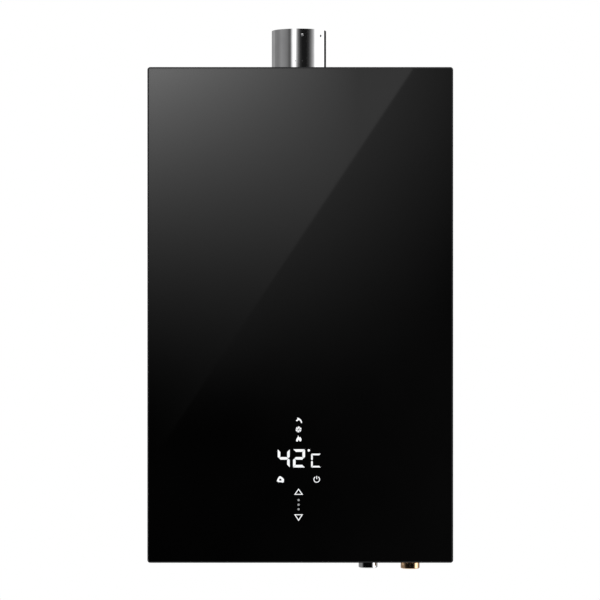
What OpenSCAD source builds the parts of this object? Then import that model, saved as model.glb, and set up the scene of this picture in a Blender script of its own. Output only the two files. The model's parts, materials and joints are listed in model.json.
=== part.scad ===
// Wall-hung gas water heater with a glass front, a fan flue and a copper heat exchanger.
// Millimetres. X runs to the right, Y towards the wall and Z up.
// The origin lies on the wall, at the centre of the four wall screws.

/* [Casing] */
// Width of the glass panel
glass_w = 330; // [326:1:350]
// Height of the glass panel
glass_h = 535; // [530:1:580]
// Thickness of the glass
glass_t = 4; // [3:0.5:6]
// Radius of the glass corners
glass_corner_r = 3; // [2:0.5:10]
// Width of the ground edge round the front of the glass
glass_edge = 1; // [0.4:0.1:2]
// How far the glass stands past the cover on each side
glass_overhang = 2; // [1:0.5:4]
// Depth of the casing from the wall to the face of the cover
case_d = 133; // [132:1:145]
// Thickness of the casing's sheet steel
sheet_t = 1; // [0.8:0.1:1.2]
// Gap between the cover and the chassis
sheet_gap = 0.3; // [0.2:0.1:0.6]
// Outer radius of the cover's folded edges
fold_r = 3; // [2:0.5:5]
// Depth of the cover's top and bottom lips
lip_d = 14; // [12:1:18]
// Depth of the chassis' side flanges
flange_d = 18; // [12:1:30]
// Thickness of the foam tape behind the glass
tape_t = 1; // [0.5:0.1:2]
// Width of the foam tape
tape_w = 18; // [10:1:30]
// Distance of the wall screws from the sides of the chassis
wall_hole_side = 16.7; // [13.7:0.1:20]
// Spacing of the wall screws up and down
wall_hole_h = 430; // [400:1:440]
// Diameter of the wall screw holes
wall_hole_d = 7; // [5:0.5:8]
// Diameter of the sheet metal screws
screw_d = 3.5; // [3:0.1:4]
// Diameter of the sheet metal screws' heads
screw_head_d = 7; // [6:0.2:7.4]
// Height of the sheet metal screws' heads
screw_head_h = 2.2; // [1.6:0.1:2.6]

/* [Display] */
// Place of the display across the panel
display_x = -2; // [-12:1:12]
// Height of the display's middle above the middle of the panel
display_z = -168; // [-174:1:-164]
// Width of the display board
display_w = 60; // [50:1:66]
// Height of the display board
display_h = 120; // [110:1:124]

/* [Flue] */
// Outer diameter of the flue collar
flue_d = 60; // [59:0.5:62]
// Wall of the flue collar
flue_wall = 0.8; // [0.6:0.1:1]
// Height of the flue collar above its gasket
flue_rise = 47; // [44:1:80]
// Place of the flue across the casing
flue_x = -1.5; // [-6:0.5:6]
// Distance of the flue from the wall
flue_depth = 68; // [67:0.5:69]
// Diameter of the flue collar's flange
flue_flange_d = 84; // [82:1:92]
// Thickness of the gasket below the collar
flue_gasket_t = 2; // [1:0.5:3]
// Diameter of the two small holes near the rim
rim_hole_d = 3; // [2:0.5:4]
// Thickness of the damper flap
damper_t = 0.8; // [0.6:0.1:1.2]
// Gap between the damper flap and the collar
damper_gap = 0.8; // [0.6:0.1:1.5]
// Diameter of the damper pin
damper_pin_d = 3; // [2.5:0.1:3.4]
// Distance of the damper pin behind the collar's axis
damper_offset = 6; // [5:0.5:8]
// Height of the damper pin above the collar's gasket
damper_rise = 13; // [12:0.5:14]

/* [Fan] */
// Distance from the flue's axis to the fan's axis
fan_offset = 45; // [42:0.5:48]
// Depth of the fan's axis below the casing's ceiling
fan_drop = 58; // [56:0.5:62]
// Width of the scroll housing
fan_w = 46; // [44:0.5:47]
// Radius at which the scroll starts
scroll_r = 50; // [49:0.5:52]
// Width of the scroll's outlet
outlet_w = 54; // [50:0.5:56]
// Diameter of the impeller
impeller_d = 87; // [80:0.5:90]
// Width of the impeller
impeller_w = 40; // [32:0.5:41]
// Number of impeller blades
blade_count = 30; // [20:1:36]
// Diameter of the fan's inlet
fan_inlet_d = 66; // [56:1:70]
// Diameter of the fan motor
motor_d = 62; // [54:1:70]
// Room between the fan motor and the cover
motor_room = 7; // [5:0.5:12]
// Diameter of the motor shaft
shaft_d = 6; // [5:0.5:6]
// Outer diameter of the motor bearings
bearing_d = 16; // [14:0.5:18]
// Width of the motor bearings
bearing_w = 5; // [4:0.5:6]

/* [Heat exchanger] */
// Distance of the fin box's sides from the axis of the riser
fin_side = 21.5; // [19.5:0.5:23.5]
// How far the fin box stands in from the chamber
fin_step = 2; // [1:0.5:3]
// Height of the fin box
fin_box_h = 51; // [48:0.5:56]
// Number of fins
fin_count = 33; // [25:1:37]
// Thickness of a fin
fin_t = 0.5; // [0.3:0.1:0.8]
// Height of a fin
fin_h = 42; // [36:1:44]
// Outer diameter of the exchanger tubes
tube_d = 12; // [11:0.2:12.6]
// Distance of the outermost tubes from the ends of the fin box
tube_edge = 9; // [8.6:0.1:10.2]
// Room between the wall and the combustion chamber
chamber_back = 18; // [17:0.5:19]
// Room between the combustion chamber and the face of the cover
chamber_front = 25; // [24:0.5:26]
// Height of the combustion chamber
chamber_h = 94; // [92:1:100]
// Spacing of the coil's turns
coil_pitch = 30; // [29:0.5:31]
// Thickness of the copper sheet
copper_t = 1; // [0.6:0.1:1.2]
// Height of the smoke hood below the scroll
hood_rise = 51; // [46:0.5:54]

/* [Burner] */
// Number of burner bars
bar_count = 12; // [8:1:12]
// Distance of the outermost burner bars from the sides of the burner
bar_side = 13.05; // [12:0.05:18]
// Thickness of a burner bar
bar_t = 8; // [6:0.5:10]
// Height of the burner
burner_h = 55; // [50:1:60]
// Number of flame ports along a bar
port_count = 11; // [7:1:14]
// Width of a flame port
port_w = 2; // [1.2:0.1:2.6]

/* [Gas] */
// Distance between the gas inlet and the cold inlet
port_pitch = 46.5; // [44.5:0.5:49.5]
// Diameter of the pipe threads
thread_d = 20.96; // [19:0.1:21.4]
// Length of the gas thread below the casing
gas_thread_l = 15.3; // [12:0.1:25]
// Width of the gas valve body
valve_w = 56; // [54:1:57]
// Depth of the gas valve body
valve_d = 50; // [46:1:52]
// Height of the gas valve body
valve_h = 52; // [48:1:58]
// Diameter of the solenoid coils
solenoid_d = 25; // [20:0.5:25.4]
// Room between the solenoid coils and the cover
solenoid_room = 9; // [7:0.5:11]
// Diameter of the solenoid plungers
plunger_d = 10; // [8:0.5:11]
// Travel of the solenoid plungers
plunger_travel = 3; // [2:0.25:3.5]
// Diameter of the modulator coil
modulator_d = 30; // [26:0.5:34]
// Length of the modulator coil
modulator_l = 26; // [24:0.5:28]
// Travel of the modulator plunger
modulator_travel = 2; // [1:0.25:2.5]
// Diameter of the gas pipe
gas_pipe_d = 12; // [10:0.5:12.6]

/* [Water] */
// Distance of the cold inlet from the side of the chassis
cold_side = 40.2; // [38.7:0.1:41.7]
// Distance of the hot outlet from the chassis' other side
hot_side = 25.7; // [21.7:0.1:26.2]
// Distance of the pipe connections from the wall
port_depth = 68; // [66:0.5:70]
// Length of the cold thread below the casing
cold_thread_l = 16.2; // [12:0.1:25]
// Length of the hot thread below the casing
hot_thread_l = 9.3; // [8:0.1:25]
// Diameter of the water pipes
pipe_d = 12.7; // [12:0.1:13]
// Wall of the copper pipes
pipe_wall = 0.8; // [0.6:0.1:1]
// Bend radius of the pipes along their middle
bend_r = 14; // [13:0.5:14.4]
// Bore of the water valve and of the outlet fitting
water_bore_d = 16; // [14:0.5:16.4]
// Distance of the drain plug in front of the cold inlet
drain_offset = 26; // [24:0.5:28]
// Diameter of the drain plug's shank
drain_d = 12; // [11:0.5:12.6]
// Diameter of the drain plug's head
drain_head_d = 18; // [16:0.5:20]

/* [Electrics] */
// Width of the controller box
controller_w = 85; // [70:1:88]
// Height of the controller box
controller_h = 110; // [90:1:114]
// Depth of the controller box
controller_d = 38; // [30:1:46]
// Wall of the moulded boxes
mould_t = 2; // [1.5:0.25:2.5]
// Thickness of the circuit boards
board_t = 1.6; // [1:0.2:2]
// Diameter of the pressure switch
pressure_switch_d = 46; // [42:1:50]
// Bore of the cable gland
gland_bore_d = 8; // [6:0.5:9]

/* [Hidden] */
$fn = 96;

// Clearances: running fits, sliding fits and loose fits
run_gap = 0.05;
slip_gap = 0.2;
loose_gap = 0.3;
// How far a cutting shape reaches past what it cuts
cut = 1;

// Casing
case_w = glass_w - 2 * glass_overhang;
case_h = glass_h - 2 * glass_overhang;
chassis_w = case_w - 2 * (sheet_t + sheet_gap);
chassis_h = case_h - 2 * (sheet_t + sheet_gap);
top_z = chassis_h / 2;
floor_z = -chassis_h / 2;
ceiling_z = top_z - sheet_t;
floor_in_z = floor_z + sheet_t;
wall_d = case_d - sheet_t - sheet_gap;
cover_y = -case_d;
cover_in_y = cover_y + sheet_t;
glass_back_y = cover_y - tape_t;
glass_front_y = glass_back_y - glass_t;
chassis_lip_h = 12;
bead_w = 12;
bead_h = 1.2;
bead_zs = [-110, 0, 110];
bead_end = 36.7;
wall_hole_w = chassis_w - 2 * wall_hole_side;
bead_l = chassis_w - 2 * bead_end;
cover_gap = 1;
screw_r = screw_d / 2;
screw_head_r = screw_head_d / 2;
screw_hole_r = screw_r + slip_gap;
screw_l = 8;
cover_screw_x = case_w / 3;
cover_screw_y = cover_y + lip_d / 2;
louvre_count = 14;
louvre_pitch = 9;
louvre_w = 3.5;
louvre_l = 30;
louvre_x = -90;
louvre_front = 13.7;
louvre_y = -wall_d + louvre_front;

// Display
window_gap = 2;
window_w = display_w + 2 * window_gap;
window_h = display_h + 2 * window_gap;
board_y = cover_in_y - board_t;
holder_d = 14;
holder_rim = 5;
digits_w = 50;
digits_h = 28;
digits_x = 1;
digits_z = 12;
sign_zs = [34, 44, 54];
sign_w = 12;
sign_h = 6;
pad_ats = [[-20, -12], [20, -12], [0, -26], [0, -54]];
pad_r = 5;
plug_w = 24;
plug_h = 12;
plug_d = 6;
plug_z = -34;
chip_w = 28;
chip_h = 20;
chip_d = 3;

// Flue and damper
flue_y = -flue_depth;
flue_r = flue_d / 2;
flue_bore_r = flue_r - flue_wall;
flue_base_z = top_z + flue_gasket_t;
flue_rim_z = flue_base_z + flue_rise;
flue_flange_t = 1;
flue_flange_r = flue_flange_d / 2;
flue_screw_pcr = (flue_r + flue_flange_r) / 2 + 0.5;
flue_screw_angles = [45, 135, 225, 315];
spigot_gap = 0.4;
spigot_r = flue_bore_r - spigot_gap;
spigot_rise = 4.8;
spigot_top_z = flue_base_z + spigot_rise;
rim_hole_angles = [7, 53];
rim_hole_drop = 6.9;
damper_z = flue_base_z + damper_rise;
damper_y = flue_y + damper_offset;
damper_r = flue_bore_r - damper_gap;
damper_barrel_r = damper_pin_d / 2 + 1;
damper_barrel_l = 2 * (damper_r - 3);
damper_stop_t = 1.2;
damper_stop_l = 4;
damper_stop_w = 8;

// Fan
fan_x = flue_x + fan_offset;
fan_z = ceiling_z - fan_drop;
fan_front_y = flue_y - fan_w / 2;
fan_back_y = flue_y + fan_w / 2;
scroll_step = (fan_offset + outlet_w / 2 - scroll_r) / 3;
scroll_top_z = fan_z + scroll_r;
scroll_bottom_z = fan_z - scroll_r - scroll_step;
scroll_rim = 4;
// Centre, radius and angle of each screw lug round the scroll
fan_lugs = [
  [[0, 0], scroll_r, 50], [[0, 0], scroll_r, 12], [[-scroll_step, 0], scroll_r + scroll_step, -50],
  [[-scroll_step, scroll_step], scroll_r + 2 * scroll_step, 228],
  [[-scroll_step, scroll_step], scroll_r + 2 * scroll_step, 178]
];
fan_flange_t = 1.2;
fan_lug_r = 5;
fan_screw_r = 1.5;
fan_screw_head_r = 2.8;
fan_screw_head_h = 2;
outlet_disc_t = 2;
outlet_disc_r = spigot_r + 2;
tap_r = 2.2;
tap_l = 8;
impeller_r = impeller_d / 2;
impeller_back_y = flue_y + impeller_w / 2;
impeller_front_y = flue_y - impeller_w / 2;
impeller_plate_t = 1;
impeller_ring_t = 1.5;
blade_l = 7.5;
blade_t = 0.8;
blade_curve_r = 8.5;
hub_r = 12;
hub_l = 13;
shaft_r = shaft_d / 2;
motor_r = motor_d / 2;
motor_y = fan_front_y - sheet_t;
motor_l = motor_y - cover_in_y - motor_room;
bearing_r = bearing_d / 2;

// Pipe connections
cold_x = chassis_w / 2 - cold_side;
hot_x = hot_side - chassis_w / 2;
gas_x = cold_x - port_pitch;
port_y = -port_depth;

// Heat exchanger, from the hood downwards
function snap(v) = round(v * 100) / 100;
chamber_d = case_d - chamber_back - chamber_front;
core_y = snap(-chamber_back - chamber_d / 2);
fin_box_w = 2 * (cold_x - fin_side);
fin_box_d = chamber_d - 2 * fin_step;
hood_z = snap(scroll_bottom_z - hood_rise);
hood_gasket_t = 1.5;
hood_skirt_h = 12;
hood_flange_w = 8;
hood_step = 2;
hood_half_w = fin_box_w / 2 + hood_step;
plenum_half_w = 48;
plenum_back_y = core_y + fin_box_d / 2;
exch_top_z = hood_z - hood_gasket_t;
fin_z0 = exch_top_z - fin_box_h;
tube_drop = 26;
tube_z = exch_top_z - tube_drop;
tube_r = tube_d / 2;
tube_count = 5;
tube_pitch = snap((fin_box_d - 2 * tube_edge) / (tube_count - 1));
tube_ys = [for (k = [0:tube_count - 1]) core_y + (k - (tube_count - 1) / 2) * tube_pitch];
tube_stub = 3;
tube_corner_x = fin_box_w / 2 + tube_stub + tube_pitch / 2;
pipe_r = pipe_d / 2;
tube_end_x = cold_x - bend_r;
chamber_half_w = cold_x - pipe_r - loose_gap;
chamber_front_y = core_y - chamber_d / 2;
chamber_back_y = core_y + chamber_d / 2;
chamber_z0 = fin_z0 - chamber_h;
chamber_flange_w = 8;
chamber_corner_r = bend_r - pipe_r - loose_gap;
coil_y_front = chamber_front_y - loose_gap - pipe_r;
coil_y_back = chamber_back_y + loose_gap + pipe_r;
coil_rise = 28;
coil_z = chamber_z0 + coil_rise;
coil_start_drop = 12;
coil_start_z = chamber_z0 - coil_start_drop;
coil_jog = 20;

// Burner
burner_z0 = chamber_z0 - burner_h;
burner_side_gap = 5;
burner_half_w = chamber_half_w - burner_side_gap;
burner_end_gap = 4;
burner_half_d = chamber_d / 2 - burner_end_gap;
burner_front_y = core_y - burner_half_d;
burner_back_y = core_y + burner_half_d;
burner_t = 1;
bar_pitch = 2 * (burner_half_w - bar_side) / (bar_count - 1);
bar_xs = [for (k = [0:bar_count - 1]) (k - (bar_count - 1) / 2) * bar_pitch];
bar_front_y = burner_front_y + 1.5;
bar_back_y = burner_back_y - 1.5;
bar_top_z = chamber_z0 - 4;
bar_foot_z = burner_z0 + burner_t;
bar_shell = 1.2;
mouth_rise = 12;
mouth_z = burner_z0 + mouth_rise;
mouth_r = 7;
mouth_bore_r = 5.4;
mouth_y = burner_front_y - 2;
nozzle_tip_y = mouth_y - 1;
nozzle_l = 7;
nozzle_r = 4;
nozzle_thread_r = 2.5;
nozzle_bore_r = 0.8;
manifold_back_y = nozzle_tip_y - nozzle_l;
manifold_d = 12;
manifold_y = manifold_back_y - manifold_d / 2;
manifold_half_w = burner_half_w - 1;
manifold_lug_w = 3;
manifold_bore_r = 4;
electrode_rise = 10;
electrode_z = chamber_z0 + electrode_rise;
spark_xs = [-30, -14];
sensor_x = 14;
electrode_xs = concat(spark_xs, [sensor_x]);
insulator_r = 3.2;
insulator_front = 12;
insulator_back = 8;
rod_r = 1;
rod_tail = 4;
rod_reach = 14;
rod_drop = 5;
rod_bend_r = 3;
electrode_plate_t = 1;
electrode_plate_end = 9;
electrode_plate_h = 13;
electrode_plate_r = 3;
overheat_x = -60;
overheat_z = coil_z + 1.5 * coil_pitch;
overheat_r = 7.5;
bracket_x = 80;
bracket_w = 20;
bracket_t = 1.5;
chamber_bracket_h = 14;
hood_bracket_rise = 64;
hood_bracket_z = hood_z + hood_bracket_rise;

// Gas valve
thread_r = thread_d / 2;
port_hole_r = thread_r + 1;
gas_end_z = floor_z - gas_thread_l;
nipple_hex_h = 11;
valve_z0 = floor_in_z + nipple_hex_h;
valve_z1 = valve_z0 + valve_h;
valve_z = valve_z0 + valve_h / 2;
valve_x0 = gas_x - valve_w / 2;
valve_x1 = gas_x + valve_w / 2;
valve_back = 23;
valve_back_y = port_y + valve_back;
valve_front_y = valve_back_y - valve_d;
solenoid_pitch = 26;
shutoff_x = gas_x - solenoid_pitch / 2;
main_x = gas_x + solenoid_pitch / 2;
solenoid_r = solenoid_d / 2;
solenoid_l = valve_front_y - cover_in_y - solenoid_room;
solenoid_end = 2;
plunger_r = plunger_d / 2;
plunger_head_r = 7.5;
plunger_head_t = 3;
plunger_rest = 2.8;
valve_chamber_r = 9;
valve_chamber_l = 14;
seat_y = valve_front_y + valve_chamber_l;
seat_bore_r = 4.5;
valve_way_y = port_y + 8;
valve_inlet_r = 7;
modulator_r = modulator_d / 2;
modulator_y = port_y - 2;
modulator_chamber_l = 8;
modulator_seat_x = valve_x0 + modulator_chamber_l;
modulator_plunger_r = 4;
modulator_head_r = 7;
modulator_head_t = 2.5;
modulator_plunger_l = 17;
nipple_hex = 27;
nipple_bore_r = 6;
gas_pipe_r = gas_pipe_d / 2;
gas_pipe_wall = 1;
gas_outlet_h = 6;
gas_rise = 46;
gas_level_z = snap(valve_z1 + gas_rise);
manifold_boss_h = 5;

// Water valve
cold_end_z = floor_z - cold_thread_l;
hot_end_z = floor_z - hot_thread_l;
water_body_r = 14;
water_flange_r = 17;
water_flange_h = 5;
water_body_h = 58;
water_top_z = floor_in_z + water_body_h;
water_bore_r = water_bore_d / 2;
socket_l = 8;
socket_r = pipe_r + slip_gap / 2;
way_r = pipe_r - pipe_wall;
turbine_rise = 18;
turbine_h = 21;
turbine_z0 = floor_in_z + turbine_rise;
turbine_z1 = turbine_z0 + turbine_h;
spider_h = 3;
axle_r = 1;
turbine_hub_r = 3;
turbine_r = water_bore_r - 0.8;
turbine_blades = 6;
filter_z0 = cold_end_z + 2;
filter_l = 16;
filter_wall = 1;
filter_rim = 3;
filter_slot_w = 2;
drain_y = port_y - drain_offset;
drain_r = drain_d / 2;
drain_shank_r = drain_r - run_gap;
drain_boss_r = drain_r + 5;
drain_boss_z0 = floor_in_z + 5;
drain_bore_l = 14;
drain_shank_l = 18;
drain_head_h = 6;
drain_grips = 12;
seal_wire_r = 0.85;
seal_z = drain_boss_z0 + 4;
seal_r = drain_shank_r - seal_wire_r;
nut_flats = 22;
nut_l = 12;
hot_y = tube_ys[tube_count - 1];
hot_jog_rise = 120;
hot_jog_z = snap(floor_in_z + hot_jog_rise);
fitting_h = 16;
fitting_hex = 30;

// Electrics
controller_side = 31;
controller_x0 = hot_x + controller_side;
controller_x1 = controller_x0 + controller_w;
controller_rise = 23;
controller_z0 = floor_in_z + controller_rise;
controller_z1 = controller_z0 + controller_h;
controller_y0 = -sheet_t - controller_d;
controller_ear = 10;
controller_ear_h = 12;
controller_ear_end = 15;
controller_ear_zs = [controller_z0 + controller_ear_end, controller_z1 - controller_ear_end];
lead_slot_x = 14;
lead_slot_pitch = 16;
lead_slot_w = 8;
lid_slot_pitch = 6;
lid_slot_w = 2.5;
lid_slot_z = 17.5;
board_stand = 4;
// Parts on the controller board, each as its width, depth and height
transformer = [28, 16, 26];
relay = [14, 12, 14];
lead_plug = [12, 8, 7];
capacitor_l = 14;
capacitor_r = 5;
capacitor_ats = [[16, 30], [28, 30], [16, 46]];
transformer_at = [22, 21];
relay_at = [51, 13];
relay_pitch = 20;
lead_plug_at = [14, 5.5];
lead_plug_pitch = 17;
lid_t = 2;
gland_x = -60;
gland_y = -60;
gland_bore_r = gland_bore_d / 2;
gland_r = gland_bore_r + 3;
gland_rim_r = gland_r + 2.5;
gland_rim_h = 3;
gland_neck_h = 6;
igniter_side = 9.7;
igniter_x0 = igniter_side - chassis_w / 2;
igniter_w = 50;
igniter_h = 52;
igniter_d = 34;
igniter_drop = 48;
igniter_z0 = fan_z - igniter_drop;
switch_r = pressure_switch_d / 2;
switch_side = 6.7;
switch_x = snap(chassis_w / 2 - switch_side - switch_r);
switch_drop = 40;
switch_z = fan_z - switch_drop;
switch_foot_w = 24;
switch_foot_h = 40;
switch_back = 5;
switch_d = 26;
hose_r = 4;
hose_bend_r = 10;

// Box from a range along each axis
module box(x, y, z) {
  translate([x[0], y[0], z[0]])
    cube([x[1] - x[0], y[1] - y[0], z[1] - z[0]]);
}

// Box along Y round a middle in X and Z
module block_y(x, y, z, w, h) {
  box([x - w / 2, x + w / 2], y, [z - h / 2, z + h / 2]);
}

// Round rods along each axis
module rod_x(x, y, z, r) {
  translate([x[0], y, z])
    rotate([0, 90, 0])
      cylinder(h = x[1] - x[0], r = r);
}

module rod_y(x, y, z, r) {
  translate([x, y[1], z])
    rotate([90, 0, 0])
      cylinder(h = y[1] - y[0], r = r);
}

module rod_z(x, y, z, r) {
  translate([x, y, z[0]])
    cylinder(h = z[1] - z[0], r = r);
}

// Outlines pushed out along each axis
module slab_x(x) {
  translate([x[0], 0, 0])
    rotate([90, 0, 90])
      linear_extrude(height = x[1] - x[0]) children();
}

module slab_y(y) {
  translate([0, y[1], 0])
    rotate([90, 0, 0])
      linear_extrude(height = y[1] - y[0]) children();
}

module slab_z(z) {
  translate([0, 0, z[0]])
    linear_extrude(height = z[1] - z[0]) children();
}

module rect(x, y) {
  translate([x[0], y[0]])
    square([x[1] - x[0], y[1] - y[0]]);
}

module ring(outer_r, inner_r) {
  difference() {
    circle(r = outer_r);
    circle(r = inner_r);
  }
}

module round_rect(x, y, r) {
  rect([x[0] + r, x[1] - r], y);
  rect(x, [y[0] + r, y[1] - r]);
  for (px = [x[0] + r, x[1] - r], py = [y[0] + r, y[1] - r])
    translate([px, py]) circle(r = r);
}

// Hexagon with the given width across its flats
module hexagon(flats) {
  circle(r = flats / 2 / cos(30), $fn = 6);
}

// Screw that points down the +Z axis from the underside of its head at the origin
module screw(l, r, head_r, head_h) {
  translate([0, 0, -head_h]) cylinder(h = head_h, r = head_r);
  cylinder(h = l, r = r);
}

// Bent pipe along a route with one bend radius
function unit(v) = v / norm(v);
function turn_angle(a, b) = acos(max(-1, min(1, a * b)));
function legs(route) = [for (i = [0:len(route) - 2]) unit(route[i + 1] - route[i])];
function side_of(d) = unit(abs(d[2]) < 0.9 ? cross(d, [0, 0, 1]) : cross(d, [1, 0, 0]));

module placed(x, y, z, at) {
  multmatrix([
    [x[0], y[0], z[0], at[0]],
    [x[1], y[1], z[1], at[1]],
    [x[2], y[2], z[2], at[2]],
    [0, 0, 0, 1]
  ]) children();
}

module pipe(route, outer_r, inner_r, bend) {
  d = legs(route);
  last = len(route) - 1;
  trim = [for (i = [0:last]) i == 0 || i == last ? 0 : bend * tan(turn_angle(d[i - 1], d[i]) / 2)];
  for (i = [0:last - 1]) {
    run = norm(route[i + 1] - route[i]) - trim[i] - trim[i + 1];
    if (run > 0.01)
      placed(side_of(d[i]), cross(d[i], side_of(d[i])), d[i], route[i] + d[i] * trim[i])
        linear_extrude(height = run) ring(outer_r, inner_r);
  }
  if (last > 1)
    for (i = [1:last - 1]) {
      inward = unit(d[i] - d[i - 1] * (d[i - 1] * d[i]));
      centre = route[i] - d[i - 1] * trim[i] + inward * bend;
      placed(-inward, d[i - 1], cross(-inward, d[i - 1]), centre)
        rotate_extrude(angle = turn_angle(d[i - 1], d[i]))
          translate([bend, 0]) ring(outer_r, inner_r);
    }
}

// Chassis: back sheet with folded top and bottom walls and side flanges
module back_plate() {
  half_w = chassis_w / 2;
  color("silver")
    difference() {
      union() {
        box([-half_w, half_w], [-sheet_t, 0], [floor_z, top_z]);
        box([-half_w, half_w], [-wall_d, 0], [ceiling_z, top_z]);
        box([-half_w, half_w], [-wall_d, 0], [floor_z, floor_in_z]);
        box([-half_w, half_w], [-wall_d, -wall_d + sheet_t], [top_z - chassis_lip_h, top_z]);
        box([-half_w, half_w], [-wall_d, -wall_d + sheet_t], [floor_z, floor_z + chassis_lip_h]);
        box([-half_w, -half_w + sheet_t], [-flange_d, 0], [floor_z, top_z]);
        box([half_w - sheet_t, half_w], [-flange_d, 0], [floor_z, top_z]);
        for (z = bead_zs)
          slab_y([-sheet_t - bead_h, -sheet_t / 2])
            round_rect([-bead_l / 2, bead_l / 2], [z - bead_w / 2, z + bead_w / 2], bead_w / 2 - 0.1);
      }
      for (side = [-1, 1])
        box([side * half_w - fold_r, side * half_w + fold_r], [-wall_d - cut, -wall_d + fold_r],
          [floor_z - cut, top_z + cut]);
      for (z = bead_zs)
        slab_y([-bead_h, cut])
          round_rect([-bead_l / 2 + sheet_t, bead_l / 2 - sheet_t],
            [z - bead_w / 2 + sheet_t, z + bead_w / 2 - sheet_t], bead_w / 2 - sheet_t - 0.1);
      for (x = [-wall_hole_w / 2, wall_hole_w / 2], z = [-wall_hole_h / 2, wall_hole_h / 2])
        rod_y(x, [-sheet_t - cut, cut], z, wall_hole_d / 2);
      rod_z(flue_x, flue_y, [ceiling_z - cut, top_z + cut], flue_r + 1);
      flue_screw_places() rod_z(0, 0, [ceiling_z - cut, top_z + cut], screw_hole_r);
      for (x = [-cover_screw_x, cover_screw_x]) {
        rod_z(x, cover_screw_y, [ceiling_z - cut, top_z + cut], screw_hole_r);
        rod_z(x, cover_screw_y, [floor_z - cut, floor_in_z + cut], screw_hole_r);
      }
      for (x = [gas_x, cold_x, hot_x])
        rod_z(x, port_y, [floor_z - cut, floor_in_z + cut], port_hole_r);
      rod_z(cold_x, drain_y, [floor_z - cut, floor_in_z + cut], drain_r + 1);
      rod_z(gland_x, gland_y, [floor_z - cut, floor_in_z + cut], gland_r + slip_gap / 2);
      for (k = [0:louvre_count - 1])
        box([louvre_x + k * louvre_pitch, louvre_x + k * louvre_pitch + louvre_w],
          [louvre_y, louvre_y + louvre_l], [floor_z - cut, floor_in_z + cut]);
    }
}

// Outline of the cover from above, less an inset
module cover_plan(inset, back) {
  half_w = case_w / 2;
  rect([-half_w + inset, half_w - inset], [cover_y + fold_r, back]);
  rect([-half_w + fold_r, half_w - fold_r], [cover_y + inset, cover_y + fold_r + cut]);
  for (x = [-half_w + fold_r, half_w - fold_r])
    translate([x, cover_y + fold_r]) circle(r = fold_r - inset);
}

module cover_lip(z) {
  slab_z(z)
    intersection() {
      cover_plan(0, -cover_gap);
      rect([-case_w, case_w], [cover_y - cut, cover_y + lip_d]);
    }
}

module front_cover() {
  color("#1c1c1e")
    difference() {
      union() {
        slab_z([-case_h / 2, case_h / 2])
          difference() {
            cover_plan(0, -cover_gap);
            cover_plan(sheet_t, cut);
          }
        cover_lip([case_h / 2 - sheet_t, case_h / 2]);
        cover_lip([-case_h / 2, -case_h / 2 + sheet_t]);
      }
      box([display_x - window_w / 2, display_x + window_w / 2], [cover_y - cut, cover_in_y + cut],
        [display_z - window_h / 2, display_z + window_h / 2]);
      for (x = [-cover_screw_x, cover_screw_x])
        rod_z(x, cover_screw_y, [-case_h / 2 - cut, case_h / 2 + cut], screw_hole_r);
    }
}

module glass_panel() {
  half_w = glass_w / 2;
  half_h = glass_h / 2;
  front = glass_front_y;
  back = glass_back_y;
  color("black")
    intersection() {
      slab_y([front, back])
        round_rect([-half_w, half_w], [-half_h, half_h], glass_corner_r);
      slab_z([-glass_h, glass_h])
        polygon([
          [-half_w, back], [half_w, back], [half_w, front + glass_edge], [half_w - glass_edge, front],
          [-half_w + glass_edge, front], [-half_w, front + glass_edge]
        ]);
      slab_x([-glass_w, glass_w])
        polygon([
          [back, -half_h], [back, half_h], [front + glass_edge, half_h], [front, half_h - glass_edge],
          [front, -half_h + glass_edge], [front + glass_edge, -half_h]
        ]);
    }
}

module panel_tape() {
  half_w = case_w / 2 - fold_r - 1;
  half_h = case_h / 2 - fold_r - 1;
  color("dimgray")
    slab_y([glass_back_y, cover_y])
      difference() {
        rect([-half_w, half_w], [-half_h, half_h]);
        rect([-half_w + tape_w, half_w - tape_w], [-half_h + tape_w, half_h - tape_w]);
      }
}

module cover_screws() {
  color("gainsboro")
    for (x = [-cover_screw_x, cover_screw_x]) {
      translate([x, cover_screw_y, case_h / 2])
        mirror([0, 0, 1]) screw(screw_l, screw_r, screw_head_r, screw_head_h);
      translate([x, cover_screw_y, -case_h / 2])
        screw(screw_l, screw_r, screw_head_r, screw_head_h);
    }
}

// Rubber bush in the floor for the mains lead
module cable_gland() {
  color("#202020")
    translate([gland_x, gland_y, 0])
      rotate_extrude()
        polygon([
          [gland_bore_r, floor_z - gland_neck_h], [gland_r - 1, floor_z - gland_neck_h],
          [gland_rim_r - 1, floor_z - gland_rim_h], [gland_rim_r, floor_z], [gland_r, floor_z],
          [gland_r, floor_in_z], [gland_rim_r, floor_in_z], [gland_rim_r, floor_in_z + gland_rim_h],
          [gland_bore_r, floor_in_z + gland_rim_h]
        ]);
}

// Tray behind the cover's window
module display_holder() {
  half_w = window_w / 2 - loose_gap;
  half_h = window_h / 2 - loose_gap;
  x = display_x;
  z = display_z;
  color("#303236")
    difference() {
      union() {
        slab_y([cover_in_y, cover_in_y + mould_t])
          round_rect([x - half_w - holder_rim, x + half_w + holder_rim],
            [z - half_h - holder_rim, z + half_h + holder_rim], holder_rim);
        box([x - half_w, x + half_w], [cover_in_y, cover_in_y + holder_d], [z - half_h, z + half_h]);
      }
      box([x - half_w + mould_t, x + half_w - mould_t], [board_y - cut, cover_in_y + holder_d - mould_t],
        [z - half_h + mould_t, z + half_h - mould_t]);
      for (dz = [-0.3, 0, 0.3])
        box([x - half_w / 2, x + half_w / 2], [cover_in_y, cover_in_y + holder_d + cut],
          [z + dz * display_h - 4, z + dz * display_h + 4]);
    }
}

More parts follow.
